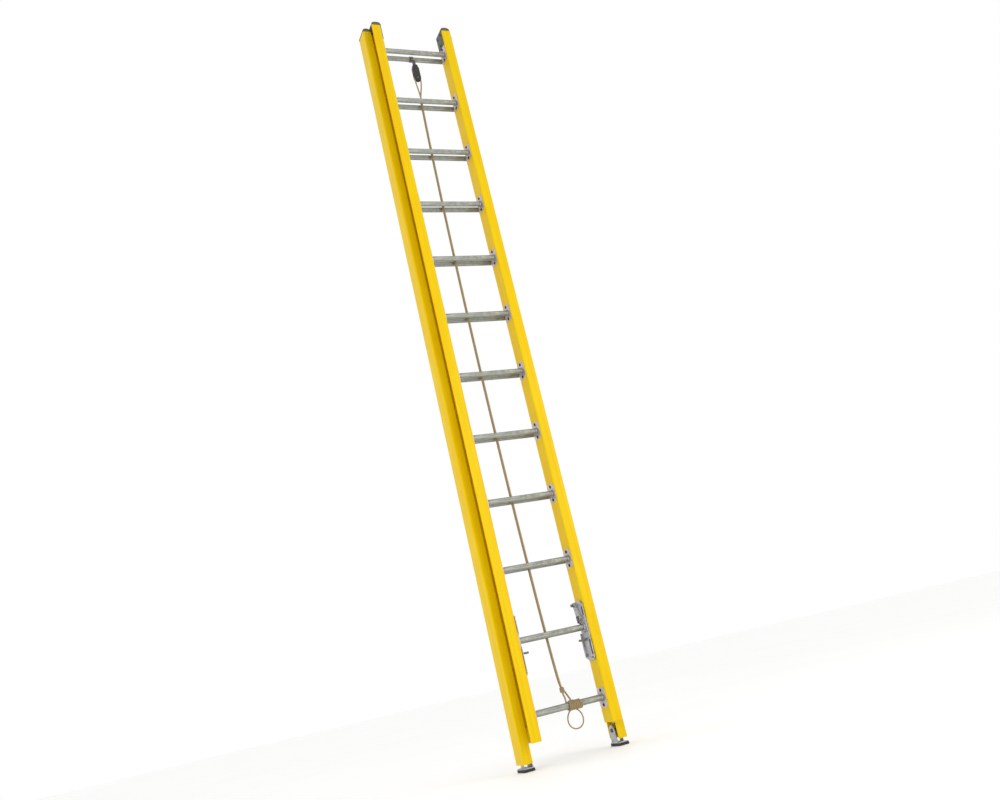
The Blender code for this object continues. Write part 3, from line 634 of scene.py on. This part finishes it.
class LADDER_OT_rope(bpy.types.Operator):
    """Lays the rope's two strands, its knot, its wraps and the loop at its foot"""

    bl_idname = "ladder.rope"
    bl_label = "Rope"

    def execute(self, context):
        sizes = context.scene.ladder_sizes
        diameter, lay = sizes.rope_diameter, sizes.rope_lay
        spacing = 0.0040
        rung_z = RUNG_Z[0]
        wound = RUNG_RADIUS + diameter / 2 + 0.0002

        lift_top = (-STRAND_OFFSET, 0.0, SHEAVE_Z)
        lift_foot = (0.0, 0.0, KNOT_Z + 0.0123)
        lift = strand(lift_top, lift_foot, LIFT_PLANE_Y, 790)
        piece = show("rope_lift_strand", laid_rope(lift, diameter, lay), "rope", "base",
                     ("rope_lift",), smooth=70.0)
        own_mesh(piece)

        over = [Vector((-STRAND_OFFSET, 0.0, SHEAVE_Z + 0.0019))]
        for step in range(1, 24):
            angle = math.pi * (1.0 - step / 24)
            over.append(Vector((STRAND_OFFSET * math.cos(angle), 0.0,
                                SHEAVE_Z + STRAND_OFFSET * math.sin(angle))))
        hitch_top = rung_z + RUNG_RADIUS + diameter + 0.0030
        haul = strand((STRAND_OFFSET, 0.0, SHEAVE_Z), (0.0010, 0.0, hitch_top + 0.0700),
                      HAUL_PLANE_Y, 780)
        foot = Vector((HITCH_X - 0.0080, HAUL_PLANE_Y + 0.0080, hitch_top - 0.0010))
        last = haul[-1]
        ending = smooth_path([haul[-40], last, last.lerp(foot, 0.5), foot], spacing)[40:]
        route = over + haul + [p for p in ending if p.z < last.z - 0.001]
        piece = show("rope_haul_strand", laid_rope(route, diameter, lay), "rope", "base",
                     ("rope_haul",), smooth=70.0)

        knot = []
        for step in range(43):
            angle = 2 * math.pi * step / 14
            knot.append((0.0078 * math.cos(angle), LIFT_PLANE_Y + 0.0060 * math.sin(angle),
                         KNOT_Z + 0.0100 - 0.0190 * step / 42))
        tail = (0.0030, -0.0095, rung_z + 0.0330)
        winding = coil_round_rung(WRAP_X - 0.0315, WRAP_X + 0.0315, SECTION_Y["fly"], rung_z,
                                  wound, 60.0, 7.7)
        standing = [(0.0, LIFT_PLANE_Y, lift_foot[2] - 0.0004), (0.0, LIFT_PLANE_Y, KNOT_Z - 0.0120),
                    (0.0020, LIFT_PLANE_Y - 0.0005, KNOT_Z - 0.0240)]
        knot_mesh = together([
            laid_rope(smooth_path(knot, 0.002), diameter * 0.9, lay),
            laid_rope(smooth_path(standing + [tail] + winding[:1], 0.003), diameter, lay)])
        show("rope_knot_turns", knot_mesh, "rope", "fly", ("rope_knot",), smooth=70.0)
        show("rope_fly_wraps", laid_rope(smooth_path(winding, 0.002), diameter, lay), "rope", "fly",
             ("rope_wrap",), smooth=70.0)

        hitch = coil_round_rung(HITCH_X - 0.0100, HITCH_X + 0.0100, SECTION_Y["base"], rung_z,
                                wound, 120.0, 2.7)
        lead = [tuple(foot), (HITCH_X - 0.0092, SECTION_Y["base"] - 0.0085, rung_z + 0.0160)]
        loop_top = rung_z - RUNG_RADIUS - diameter
        loop = []
        for step in range(48):
            angle = 2 * math.pi * step / 48
            # A hanging eye is a little narrower at its top than at its belly
            width = LOOP_HALF_WIDTH * (0.92 - 0.08 * math.cos(angle))
            loop.append(Vector((HITCH_X + width * math.sin(angle), SECTION_Y["base"],
                                loop_top + 0.0030 + LOOP_HALF_HEIGHT * (math.cos(angle) - 1.0))))
        meshes = [laid_rope(smooth_path(lead[:1] + hitch, 0.002), diameter, lay),
                  laid_rope(loop, diameter * 0.8, lay, closed=True)]
        show("rope_hitch_and_loop", together(meshes), "rope", "base", ("rope_hitch",), smooth=70.0)
        return {"FINISHED"}


# Rails, caps and guides

class LADDER_OT_rails(bpy.types.Operator):
    """Finishes the four rails and the slide guides between them"""

    bl_idname = "ladder.rails"
    bl_label = "Rails and guides"

    def execute(self, context):
        for side in SIDES:
            for section in SECTIONS:
                refinish("%s_rail_%s" % (section, side), "fibreglass")
                refinish("%s_guide_%s" % (section, side), "guide_nylon")
        return {"FINISHED"}


def arched_cap(low_x, high_x, middle_y, notch):
    """A right-hand cap: arched across the rail, rounded front and back, with one notch cut out."""
    low_z = RAIL_TOP + 0.0003
    crown = CAP_TOP - CAP_ROUNDING
    arch = ([(high_x, low_z)] + arc((high_x - CAP_ROUNDING, crown), CAP_ROUNDING, 0, 90, 10)
            + arc((low_x + CAP_ROUNDING, crown), CAP_ROUNDING, 90, 180, 10) + [(low_x, low_z)])
    shape = bmesh.new()
    solid = prism([arch], 2 * (RAIL_HALF_DEPTH + CAP_PROUD),
                  Matrix.Translation((0.0, middle_y, 0.0)) @ OUTLINE_TO_XZ)
    shape.from_mesh(solid)
    bpy.data.meshes.remove(solid)
    rims = [e for e in shape.edges if len(e.link_faces) == 2 and e.calc_face_angle() > 1.0
            and abs(e.verts[0].co.y - e.verts[1].co.y) < 1e-6 and max(v.co.z for v in e.verts) > low_z + 1e-5]
    bmesh.ops.bevel(shape, geom=rims, offset=0.0055, offset_type="OFFSET", segments=4, profile=0.5,
                    affect="EDGES", clamp_overlap=True)
    return carve(take(shape), rounded_box(*notch, 0.0005, 1))


def carve(mesh, cutter):
    """Takes one closed mesh out of another."""
    pair = [bpy.data.objects.new("carve", item) for item in (mesh, cutter)]
    for item in pair:
        bpy.context.scene.collection.objects.link(item)
    boolean = pair[0].modifiers.new("carve", "BOOLEAN")
    boolean.operation = "DIFFERENCE"
    boolean.solver = "EXACT"
    boolean.object = pair[1]
    carved = bpy.data.meshes.new_from_object(pair[0].evaluated_get(bpy.context.evaluated_depsgraph_get()))
    for item in pair:
        bpy.data.objects.remove(item, do_unlink=True)
    return carved


class LADDER_OT_caps(bpy.types.Operator):
    """Makes the moulded end caps and the plates that hold the fly's caps"""

    bl_idname = "ladder.caps"
    bl_label = "End caps"

    def execute(self, context):
        y, base_y = SECTION_Y["fly"], SECTION_Y["base"]
        fly_rear = y + RAIL_HALF_DEPTH
        # The fly rail's rear flange slides up through the notch in the base section's cap
        notch = ((BASE_FLANGE_TIP - 0.0100, fly_rear - 0.0055, RAIL_TOP - 0.0100),
                 (FLY_FLANGE_TIP + 0.0010, fly_rear + 0.0030, CAP_TOP + 0.0100))
        cap = arched_cap(BASE_FLANGE_TIP, BASE_WEB_OUTER + 0.0010, base_y, notch)
        both_sides("end_cap_base_{}", [cap], "cap_plastic", "base", ["base_cap_{}"])

        # and the fly's cap leaves room for the base rail's front flange
        notch = ((BASE_FLANGE_TIP - 0.0010, base_y - RAIL_HALF_DEPTH - 0.0030, RAIL_TOP - 0.0100),
                 (BASE_FLANGE_TIP + 0.0300, fly_rear - 0.0050, CAP_TOP + 0.0100))
        cap = arched_cap(FLY_WEB_INNER - 0.0033, FLY_FLANGE_TIP, y, notch)
        plate = prism([rounded_box_outline((y - 0.0365, RUNG_Z[-1] + 0.0430), (y + 0.0365, RAIL_TOP + 0.0040),
                                           0.0080)],
                      0.0028, across(FLY_WEB_INNER - 0.0017), 0.0007)
        both_sides("end_cap_fly_{}", [cap, plate], "cap_plastic", "fly", ["fly_cap_{}"])
        heads = [rivet_head((FLY_WEB_INNER - 0.0030, y + dy, height), 0.0060)
                 for dy, height in ((-0.0200, RAIL_TOP - 0.0160), (0.0200, RAIL_TOP - 0.0160),
                                    (0.0, RUNG_Z[-1] + 0.0580))]
        # The fly cap's rivet heads share the near-black rivet colour that paints shade at the rung ends.
        both_sides("end_cap_rivets_fly_{}", heads, "rivet_steel_painted_shade", "fly")
        return {"FINISHED"}


# Rungs and their plates

def rivet_head(place, radius):
    """A domed rivet head at a place on the right-hand side, facing the middle."""
    profile = [(radius, -0.0004), (radius, 0.0003)]
    for angle in (25, 50, 72):
        turn = math.radians(angle)
        profile.append((radius * math.cos(turn), 0.0003 + 0.42 * radius * math.sin(turn)))
    return turned(profile, 14, Matrix.Translation(place) @ HEAD_TO_LEFT, solid=True)


def serrated_rung(half, web_inner, sizes):
    """A hollow rung with grip grooves and a swaged bead that holds the plate at each end."""
    around = sizes.serration_count * 2
    deep = RUNG_RADIUS - sizes.serration_depth
    plain = [(web_inner - 0.0165, RUNG_RADIUS - 0.0002), (web_inner - 0.0155, RUNG_RADIUS),
             (web_inner - 0.0080, RUNG_RADIUS), (web_inner - 0.0068, RUNG_RADIUS + 0.0016),
             (web_inner - 0.0050, RUNG_RADIUS + 0.0026), (web_inner - 0.0032, RUNG_RADIUS + 0.0026),
             (web_inner - 0.0027, RUNG_RADIUS), (half, RUNG_RADIUS), (half, RUNG_RADIUS - RUNG_WALL)]
    grooved = web_inner - 0.0185
    rings = [(-x, r, r) for x, r in plain[::-1]]
    rings += [(x, RUNG_RADIUS, deep) for x in (-grooved, -grooved / 2, 0.0, grooved / 2, grooved)]
    rings += [(x, r, r) for x, r in plain]
    shape = bmesh.new()
    loops = []
    for x, ridge, groove in rings:
        loop = []
        for step in range(around):
            angle = 2 * math.pi * step / around
            radius = groove if step % 2 else ridge
            loop.append(shape.verts.new((x, radius * math.cos(angle), radius * math.sin(angle))))
        loops.append(loop)
    for first, second in zip(loops, loops[1:] + loops[:1]):
        for step in range(around):
            after = (step + 1) % around
            shape.faces.new((first[step], first[after], second[after], second[step]))
    return take(shape, "serrated_rung")


class LADDER_OT_rungs(bpy.types.Operator):
    """Makes the serrated rungs of both sections"""

    bl_idname = "ladder.rungs"
    bl_label = "Rungs"

    def execute(self, context):
        sizes = context.scene.ladder_sizes
        for section in SECTIONS:
            mesh = serrated_rung(RUNG_HALF[section], WEB_INNER[section], sizes)
            for number, height in enumerate(RUNG_Z, start=1):
                show("serrated_rung_%s_%02d" % (section, number), mesh, "rung_aluminium", section,
                     ("%s_rung_%02d" % (section, number),), (0.0, SECTION_Y[section], height), 28.0)
        return {"FINISHED"}


class LADDER_OT_plates(bpy.types.Operator):
    """Makes the plates and rivets that tie each rung to its rails"""

    bl_idname = "ladder.plates"
    bl_label = "Rung plates and rivets"

    def execute(self, context):
        sizes = context.scene.ladder_sizes
        half_width, half_height = sizes.plate_width / 2, sizes.plate_height / 2
        for section in SECTIONS:
            y, inner = SECTION_Y[section], WEB_INNER[section]
            plates, rivets = [], []
            for z in RUNG_Z:
                outline = rounded_box_outline((y - half_width, z - half_height),
                                              (y + half_width, z + half_height), 0.0110)
                plates.append(prism([outline, circle((y, z), RUNG_RADIUS + 0.0003)], 0.0022,
                                    across(inner - 0.0013), 0.0006))
                for offset in (-sizes.rivet_spacing, sizes.rivet_spacing):
                    rivets.append(rivet_head((inner - 0.0024, y, z + offset), 0.0075))
            both_sides("rung_plates_%s_{}" % section, plates, "plate", section)
            # Near-black rivet heads above and below each rung: painted shade for the shadow at the rung ends.
            both_sides("rung_rivets_%s_{}" % section, rivets, "rivet_steel_painted_shade", section)
        return {"FINISHED"}


# Shoes

def hexagon(radius, turn=0.0):
    return [(radius * math.cos(math.radians(60 * k + turn)), radius * math.sin(math.radians(60 * k + turn)))
            for k in range(6)]


class LADDER_OT_shoes(bpy.types.Operator):
    """Makes the swivel shoes, their ribbed pads, bolts and brackets"""

    bl_idname = "ladder.shoes"
    bl_label = "Swivel shoes"

    def execute(self, context):
        x, y, z = SHOE_PIVOT
        hole = circle((y, z), 0.0043, 20)
        low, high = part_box("shoe_bracket_right")
        plate = rounded_box_outline((y - 0.0330, low.z), (y + 0.0330, high.z), 0.0090)
        ledge_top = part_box("fly_rail_right")[0].z - 0.0004
        bracket = [prism([plate, hole], 0.0040, across(x), 0.0007),
                   rounded_box((BASE_FLANGE_TIP, -0.0052, ledge_top - 0.0106), (x, 0.0130, ledge_top), 0.0012),
                   rounded_box((x - 0.0090, y - 0.0300, high.z - 0.0120), (x, y + 0.0300, high.z - 0.0080),
                               0.0010)]
        both_sides("shoe_bracket_casting_{}", bracket, "cast_aluminium", "base", ["shoe_bracket_{}"])
        rivets = [rivet_head((x - 0.0020, y + dy, z + dz), 0.0060)
                  for dy in (-0.0240, 0.0240) for dz in (0.0240, 0.0300)]
        both_sides("shoe_bracket_rivets_{}", rivets, "zinc_steel", "base")

        low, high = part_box("shoe_right")
        sole_top, sole_low = 0.0148, 0.0118
        inner_ear, outer_ear = low.x + 0.0020, x - 0.0041
        meshes = [prism([rounded_box_outline((low.x, low.y), (high.x, high.y), 0.0050)], sole_top - sole_low,
                        Matrix.Translation((0, 0, (sole_top + sole_low) / 2)), 0.0008)]
        for ear_x, thickness, radius, foot in ((inner_ear, 0.0040, 0.0220, 0.0280),
                                               (outer_ear, 0.0036, 0.0140, 0.0150)):
            ear = ([(y + foot, sole_top - 0.0010)] + arc((y, z), radius, 0.0, 180.0, 20)
                   + [(y - foot, sole_top - 0.0010)])
            meshes.append(prism([ear, hole], thickness, across(ear_x), 0.0008))
        # Stiffening ribs: two up the inner ear's face and one along each side of the sole
        for edge in (-0.0190, 0.0160):
            meshes.append(rounded_box((low.x - 0.0002, y + edge, sole_top - 0.0005),
                                      (low.x + 0.0012, y + edge + 0.0030, z - 0.0040), 0.0006, 1))
        for edge in (low.y + 0.0040, high.y - 0.0070):
            meshes.append(rounded_box((low.x + 0.0060, edge, sole_top - 0.0008),
                                      (high.x - 0.0060, edge + 0.0030, sole_top + 0.0016), 0.0008))
        both_sides("shoe_casting_{}", meshes, "cast_aluminium", "foot_{}", ["shoe_{}"])

        low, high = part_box("shoe_pad_right")
        grooves = 9
        pitch = (high.y - low.y) / grooves
        outline = [(low.y, high.z), (low.y, 0.0016)]
        for k in range(grooves):
            start = low.y + k * pitch
            outline += [(start + 0.0004, 0.0), (start + pitch - 0.0034, 0.0),
                        (start + pitch - 0.0026, 0.0028), (start + pitch - 0.0008, 0.0028)]
        outline = outline[:-2] + [(high.y - 0.0004, 0.0), (high.y, 0.0016), (high.y, high.z)]
        pad = prism([outline], high.x - low.x, across((low.x + high.x) / 2), 0.0004, 1, 60.0)
        both_sides("shoe_tread_pad_{}", [pad], "rubber", "foot_{}", ["shoe_pad_{}"])

        low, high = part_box("shoe_bolt_right")
        axis = Matrix.Translation((0, y, z)) @ AXIS_TO_X
        shank = turned([(0.0036, low.x), (0.0040, low.x + 0.0010), (0.0040, high.x)], 20, axis, solid=True)
        nut = prism([hexagon(0.0080, 12.0)], 0.0046, Matrix.Translation((0, y, z)) @ across(low.x + 0.0028),
                    0.0007)
        collars = [turned([(0.0042, start), (radius, start), (radius, end), (0.0042, end)], 24, axis)
                   for radius, start, end in ((0.0085, low.x + 0.0050, low.x + 0.0059),
                                              (0.0068, inner_ear + 0.0024, outer_ear - 0.0022))]
        both_sides("shoe_pivot_stud_{}", [shank, nut] + collars, "zinc_steel", "base", ["shoe_bolt_{}"])
        return {"FINISHED"}


# Rung locks

def spring_path(centre, radius, turns, pitch, tails):
    """A torsion spring's line round an axis along X, with its two straight legs."""
    points = [Vector(tails[0])]
    steps = int(turns * 16)
    for step in range(steps + 1):
        angle = math.radians(70) + 2 * math.pi * step / 16
        points.append(Vector((centre.x + pitch * step / 16, centre.y + radius * math.cos(angle),
                              centre.z + radius * math.sin(angle))))
    points.append(Vector(tails[1]))
    return points


class LADDER_OT_locks(bpy.types.Operator):
    """Makes the rung locks: castings, hooks, fingers, pins and return springs"""

    bl_idname = "ladder.locks"
    bl_label = "Rung locks"

    def execute(self, context):
        y, z = SECTION_Y["fly"], RUNG_Z[1]
        low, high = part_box("lock_body_right")
        front, rear = low.y, high.y
        plate_face = high.x - 0.0040
        outline = [(rear, low.z + 0.0120), (rear, z - 0.0300), (rear - 0.0040, z - 0.0240),
                   (rear - 0.0040, z + 0.0240), (rear, z + 0.0300), (rear, high.z - 0.0120),
                   (rear - 0.0120, high.z), (front + 0.0180, high.z), (front, high.z - 0.0180),
                   (front, z + 0.0300), (front + 0.0040, z + 0.0240), (front + 0.0040, z - 0.0240),
                   (front, z - 0.0300), (front, low.z + 0.0120), (front + 0.0120, low.z),
                   (rear - 0.0120, low.z)]
        slots = [((front + 0.0045, low.z + 0.0220), (front + 0.0155, low.z + 0.0900)),
                 ((front + 0.0045, z + 0.0480), (front + 0.0155, z + 0.0880))]
        windows = [circle((y, z), RUNG_RADIUS + 0.0003)] + [rounded_box_outline(*slot, 0.0050) for slot in slots]
        gap = 0.0003
        # Black nylon inserts fill the two slots as painted shade: dark pieces that stand in for the shadow
        # inside the slots.
        wear = [prism([rounded_box_outline((start[0] + gap, start[1] + gap), (end[0] - gap, end[1] - gap),
                                           0.0047)], 0.0034, across(plate_face + 0.0017), 0.0006)
                for start, end in slots]
        both_sides("lock_slot_painted_shade_inserts_{}", wear, "nylon", "fly")

        reach = 0.0080
        casting = [prism([outline] + windows, 0.0040, across(plate_face + 0.0020), 0.0010),
                   rounded_box((plate_face - reach, rear - 0.0045, low.z + 0.0160),
                               (plate_face + 0.0010, rear - 0.0010, z - 0.0260), 0.0011)]
        for height in (low.z + 0.0100, low.z + 0.0950):
            casting.append(rounded_box((plate_face - reach * 0.7, front + 0.0180, height),
                                       (plate_face + 0.0010, rear - 0.0020, height + 0.0035), 0.0011))
        boss = [(RUNG_RADIUS + 0.0004, -0.0010), (0.0200, -0.0010), (0.0200, 0.0030), (0.0186, 0.0046),
                (RUNG_RADIUS + 0.0004, 0.0046)]
        casting.append(turned(boss, 28, Matrix.Translation((plate_face, y, z)) @ HEAD_TO_LEFT))
        both_sides("lock_casting_{}", casting, "cast_aluminium", "fly", ["lock_body_{}"])

        post = turned([(0.0060, 0.0), (0.0045, 0.0025), (0.0045, 0.0365), (0.0038, 0.0382), (0.0020, 0.0390)],
                      20, Matrix.Translation((plate_face, y, z - 0.0550)) @ HEAD_TO_LEFT, solid=True)
        heads = [rivet_head((plate_face, y + dy, height), 0.0052)
                 for dy, height in ((-0.0200, low.z + 0.0130), (0.0200, low.z + 0.0250), (0.0140, z + 0.0360))]
        both_sides("lock_posts_and_rivets_{}", [post] + heads, "zinc_steel", "fly")

        both_sides("lock_hook_casting_{}", [hook_mesh()], "cast_aluminium", "hook_{}", ["lock_hook_{}"])
        lever = arc((0, 0), 0.0060, -10.0, 190.0, 12) + arc((0, -0.0220), 0.0040, 190.0, 350.0, 10)
        finger = prism([lever, circle((0, 0), 0.0028, 12)], 0.0060,
                       Matrix.Translation(FINGER_PIVOT) @ OUTLINE_TO_YZ, 0.0009)
        both_sides("lock_finger_lever_{}", [finger], "zinc_steel", "finger_{}", ["lock_finger_{}"])

        low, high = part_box("lock_pin_right")
        axis = Matrix.Translation((0, HOOK_PIVOT.y, HOOK_PIVOT.z)) @ AXIS_TO_X
        pin = turned([(0.0034, low.x - 0.0020), (0.0040, low.x - 0.0014), (0.0040, high.x)], 20, axis,
                     solid=True)
        clip = turned([(0.0041, low.x - 0.0006), (0.0062, low.x - 0.0006), (0.0062, low.x + 0.0002),
                       (0.0041, low.x + 0.0002)], 20, axis)
        both_sides("lock_pivot_pin_{}", [pin, clip], "zinc_steel", "fly", ["lock_pin_{}"])
        coil = spring_path(Vector((low.x - 0.0100, HOOK_PIVOT.y, HOOK_PIVOT.z)), 0.0058, 4.0, 0.0019,
                           ((low.x - 0.0100, HOOK_PIVOT.y - 0.0160, HOOK_PIVOT.z + 0.0040),
                            (low.x - 0.0022, HOOK_PIVOT.y - 0.0160, HOOK_PIVOT.z - 0.0240)))
        spring = swept(coil, 8, lambda angle, travelled: 0.0008)
        both_sides("lock_return_spring_{}", [spring], "zinc_steel", "hook_{}")
        return {"FINISHED"}


def hook_mesh():
    """The hook casting of the right-hand lock, with a rounded seat over the rung."""
    over = SECTION_Y["base"] - HOOK_PIVOT.y
    bore = 0.0135
    seat = (over, -0.0800)
    jaw = -0.0733
    opening = math.degrees(math.asin((jaw + 0.0800) / bore))
    outer = bore + 0.0080
    outline = (arc((0, 0), 0.0110, 20.0, 190.0, 14)
               + [(over - outer, -0.0513), (over - outer, jaw + 0.0020), (over - outer + 0.0020, jaw)]
               + arc(seat, bore, 180.0 - opening, opening, 14)
               + [(over + outer - 0.0020, jaw), (over + outer, jaw + 0.0020), (over + outer, -0.0583)])
    place = Matrix.Translation(HOOK_PIVOT) @ OUTLINE_TO_YZ
    body = prism([outline, circle((0, 0), 0.0043, 16)], 0.0080, place, 0.0012, 3)
    boss = turned([(0.0044, 0.0), (0.0092, 0.0), (0.0086, 0.0050), (0.0044, 0.0050)], 24,
                  Matrix.Translation(HOOK_PIVOT + Vector((-0.0030, 0, 0))) @ HEAD_TO_LEFT)
    stud = turned([(0.0025, 0.0), (0.0025, 0.0105), (0.0018, 0.0112)], 14,
                  Matrix.Translation(HOOK_PIVOT + FINGER_ARM + Vector((-0.0020, 0, 0))) @ HEAD_TO_LEFT,
                  solid=True)
    casting = together([body, boss, stud])
    centre = Vector((0.0, HOOK_PIVOT.y, HOOK_PIVOT.z))
    casting.transform(Matrix.Translation(centre) @ HOOK_STORED @ Matrix.Translation(-centre))
    return casting


# Pulley

class LADDER_OT_pulley(bpy.types.Operator):
    """Makes the pulley's steel strap, its moulded block and its grooved sheave"""

    bl_idname = "ladder.pulley"
    bl_label = "Pulley"

    def execute(self, context):
        y, z = SECTION_Y["base"], RUNG_Z[-1]
        block_low, block_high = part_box("pulley_block")
        width = 0.0170
        ring = prism([circle((y, z), RUNG_RADIUS + 0.0031, 32), circle((y, z), RUNG_RADIUS + 0.0004, 32)],
                     width, OUTLINE_TO_YZ, 0.0005)
        arm = [(0.0150, z - 0.0080), (0.0040, z - 0.0180), (-0.0022, z - 0.0260), (-0.0028, z - 0.0300),
               (-0.0028, block_high.z + 0.0003), (0.0028, block_high.z + 0.0003), (0.0028, z - 0.0310),
               (0.0070, z - 0.0240), (0.0190, z - 0.0140)]
        strap = prism([arm], width, OUTLINE_TO_YZ, 0.0006)
        bolt = [prism([hexagon(0.0052)], 0.0036, Matrix.Translation((0, face, z - 0.0450)) @ OUTLINE_TO_XZ,
                      0.0005) for face in (-0.0042, 0.0042)]
        show("pulley_steel_strap", together([ring, strap] + bolt), "zinc_steel", "base", ("pulley_hanger",))

        half = 0.0185
        top = block_high.z
        outline = (arc((0.0, SHEAVE_Z), half, 180.0, 360.0, 20)
                   + [(half, top - 0.0240), (half - 0.0015, top - 0.0200), (0.0120, top - 0.0020),
                      (0.0100, top), (-0.0100, top), (-0.0120, top - 0.0020), (0.0015 - half, top - 0.0200),
                      (-half, top - 0.0240)])
        cheeks = []
        for centre in (-0.0074, 0.0074):
            cheeks.append(prism([outline], 0.0022, Matrix.Translation((0, centre, 0)) @ OUTLINE_TO_XZ, 0.0007))
        web_low = SHEAVE_Z + 0.0212
        crown = [(half - 0.0012, web_low), (half - 0.0012, top - 0.0240), (0.0112, top - 0.0020),
                 (0.0095, top - 0.0008), (-0.0095, top - 0.0008), (-0.0112, top - 0.0020),
                 (0.0012 - half, top - 0.0240), (0.0012 - half, web_low)]
        cheeks.append(prism([crown], 0.0142, OUTLINE_TO_XZ, 0.0006))
        for face in (-1, 1):
            rib = turned([(0.0060, 0.0), (0.0082, 0.0), (0.0078, 0.0011), (0.0060, 0.0011)], 28,
                         Matrix.Translation((0, face * 0.0080, SHEAVE_Z))
                         @ Matrix.Rotation(-face * math.pi / 2, 4, "X"))
            cheeks.append(rib)
        show("pulley_moulded_block", together(cheeks), "nylon", "base", ("pulley_block",))
        axle = turned([(0.0036, -0.0094), (0.0048, -0.0088), (0.0048, -0.0080), (0.0030, -0.0079),
                       (0.0030, 0.0079), (0.0048, 0.0080), (0.0048, 0.0088), (0.0036, 0.0094)], 20,
                      Matrix.Translation((0, 0, SHEAVE_Z)) @ AXIS_TO_Y, solid=True)
        show("pulley_axle_pin", axle, "zinc_steel", "base")

        profile = [(0.0033, 0.0058)]
        for radius, height in ((0.0162, 0.0060), (0.0165, 0.0057), (0.0160, 0.0052), (0.0140, 0.0043),
                               (0.0124, 0.0030), (0.0117, 0.0014)):
            profile.append((radius, height))
        profile += [(radius, -height) for radius, height in profile[::-1]]
        sheave = turned(profile, 40, Matrix.Translation((0, 0, SHEAVE_Z)) @ AXIS_TO_Y)
        spokes = []
        for index in range(5):
            angle = 2 * math.pi * index / 5
            place = Matrix.Translation((0, 0, SHEAVE_Z)) @ Matrix.Rotation(angle, 4, "Y")
            for face in (-0.00595, 0.00595):
                rib = rounded_box((0.0050, face - 0.0003, -0.0010), (0.0110, face + 0.0003, 0.0010), 0.0002, 1)
                rib.transform(place)
                spokes.append(rib)
        show("pulley_grooved_sheave", together([sheave] + spokes), "nylon", "sheave", ("pulley_sheave",))
        return {"FINISHED"}


# Stage

def softbox(name, place, target, size, watts):
    light = bpy.data.lights.new(name, "AREA")
    light.shape = "RECTANGLE"
    light.size, light.size_y = size
    light.energy = watts
    lamp = bpy.data.objects.new(name, light)
    direction = Vector(target) - Vector(place)
    lamp.location = place
    lamp.rotation_euler = direction.to_track_quat("-Z", "Y").to_euler()
    bpy.context.scene.collection.objects.link(lamp)
    return lamp


class LADDER_OT_stage(bpy.types.Operator):
    """Sets up the pale floor, the soft lights and the camera"""

    bl_idname = "ladder.stage"
    bl_label = "Stage"

    def execute(self, context):
        scene = context.scene
        world = scene.world or bpy.data.worlds.new("studio")
        scene.world = world
        world.use_nodes = True
        background = world.node_tree.nodes["Background"]
        background.inputs["Color"].default_value = (1.0, 1.0, 1.0, 1.0)
        background.inputs["Strength"].default_value = 1.0
        scene.view_settings.view_transform = "Standard"

        shape = bmesh.new()
        bmesh.ops.create_circle(shape, cap_ends=True, segments=96, radius=60.0)
        floor = bpy.data.objects.new("studio_floor", take(shape, "studio_floor"))
        floor.data.materials.append(finish_of("floor"))
        scene.collection.objects.link(floor)

        softbox("key_softbox", (2.2, -4.2, 2.0), (0.0, 0.0, 0.6), (2.2, 3.0), 45.0)
        softbox("fill_softbox", (-3.6, -3.0, 1.2), (0.0, 0.0, 1.2), (2.4, 2.0), 45.0)

        data = bpy.data.cameras.new("view")
        data.sensor_width = 36.0
        data.lens = CAMERA_LENS_MM
        data.clip_end = 200.0
        camera = bpy.data.objects.new("view", data)
        turn = Matrix((CAMERA_RIGHT, CAMERA_UP, CAMERA_BACK)).transposed().to_4x4()
        camera.matrix_world = Matrix.Translation(CAMERA_PLACE) @ turn
        scene.collection.objects.link(camera)
        scene.camera = camera
        return {"FINISHED"}


class LADDER_PT_panel(bpy.types.Panel):
    """Lists the ladder's pieces, sizes and colours"""

    bl_idname = "LADDER_PT_panel"
    bl_label = "Extension Ladder"
    bl_space_type = "VIEW_3D"
    bl_region_type = "UI"
    bl_category = "Ladder"

    def draw(self, context):
        column = self.layout.column(align=True)
        for operator in OPERATORS:
            column.operator(operator.bl_idname)
        for group in (context.scene.ladder_sizes, context.scene.ladder_colours):
            box = self.layout.box()
            for name in group.__annotations__:
                box.prop(group, name)


OPERATORS = (LADDER_OT_stage, LADDER_OT_rope, LADDER_OT_rails, LADDER_OT_caps, LADDER_OT_rungs,
             LADDER_OT_plates, LADDER_OT_shoes, LADDER_OT_locks, LADDER_OT_pulley)
CLASSES = (LadderSizes, LadderColours, *OPERATORS, LADDER_PT_panel)


def register():
    for item in CLASSES:
        bpy.utils.register_class(item)
    bpy.types.Scene.ladder_sizes = PointerProperty(type=LadderSizes)
    bpy.types.Scene.ladder_colours = PointerProperty(type=LadderColours)


def unregister():
    del bpy.types.Scene.ladder_colours
    del bpy.types.Scene.ladder_sizes
    for item in reversed(CLASSES):
        bpy.utils.unregister_class(item)


def main():
    register()
    for operator in OPERATORS:
        getattr(bpy.ops.ladder, operator.bl_idname.split(".")[1])()


if __name__ == "__main__":
    main()
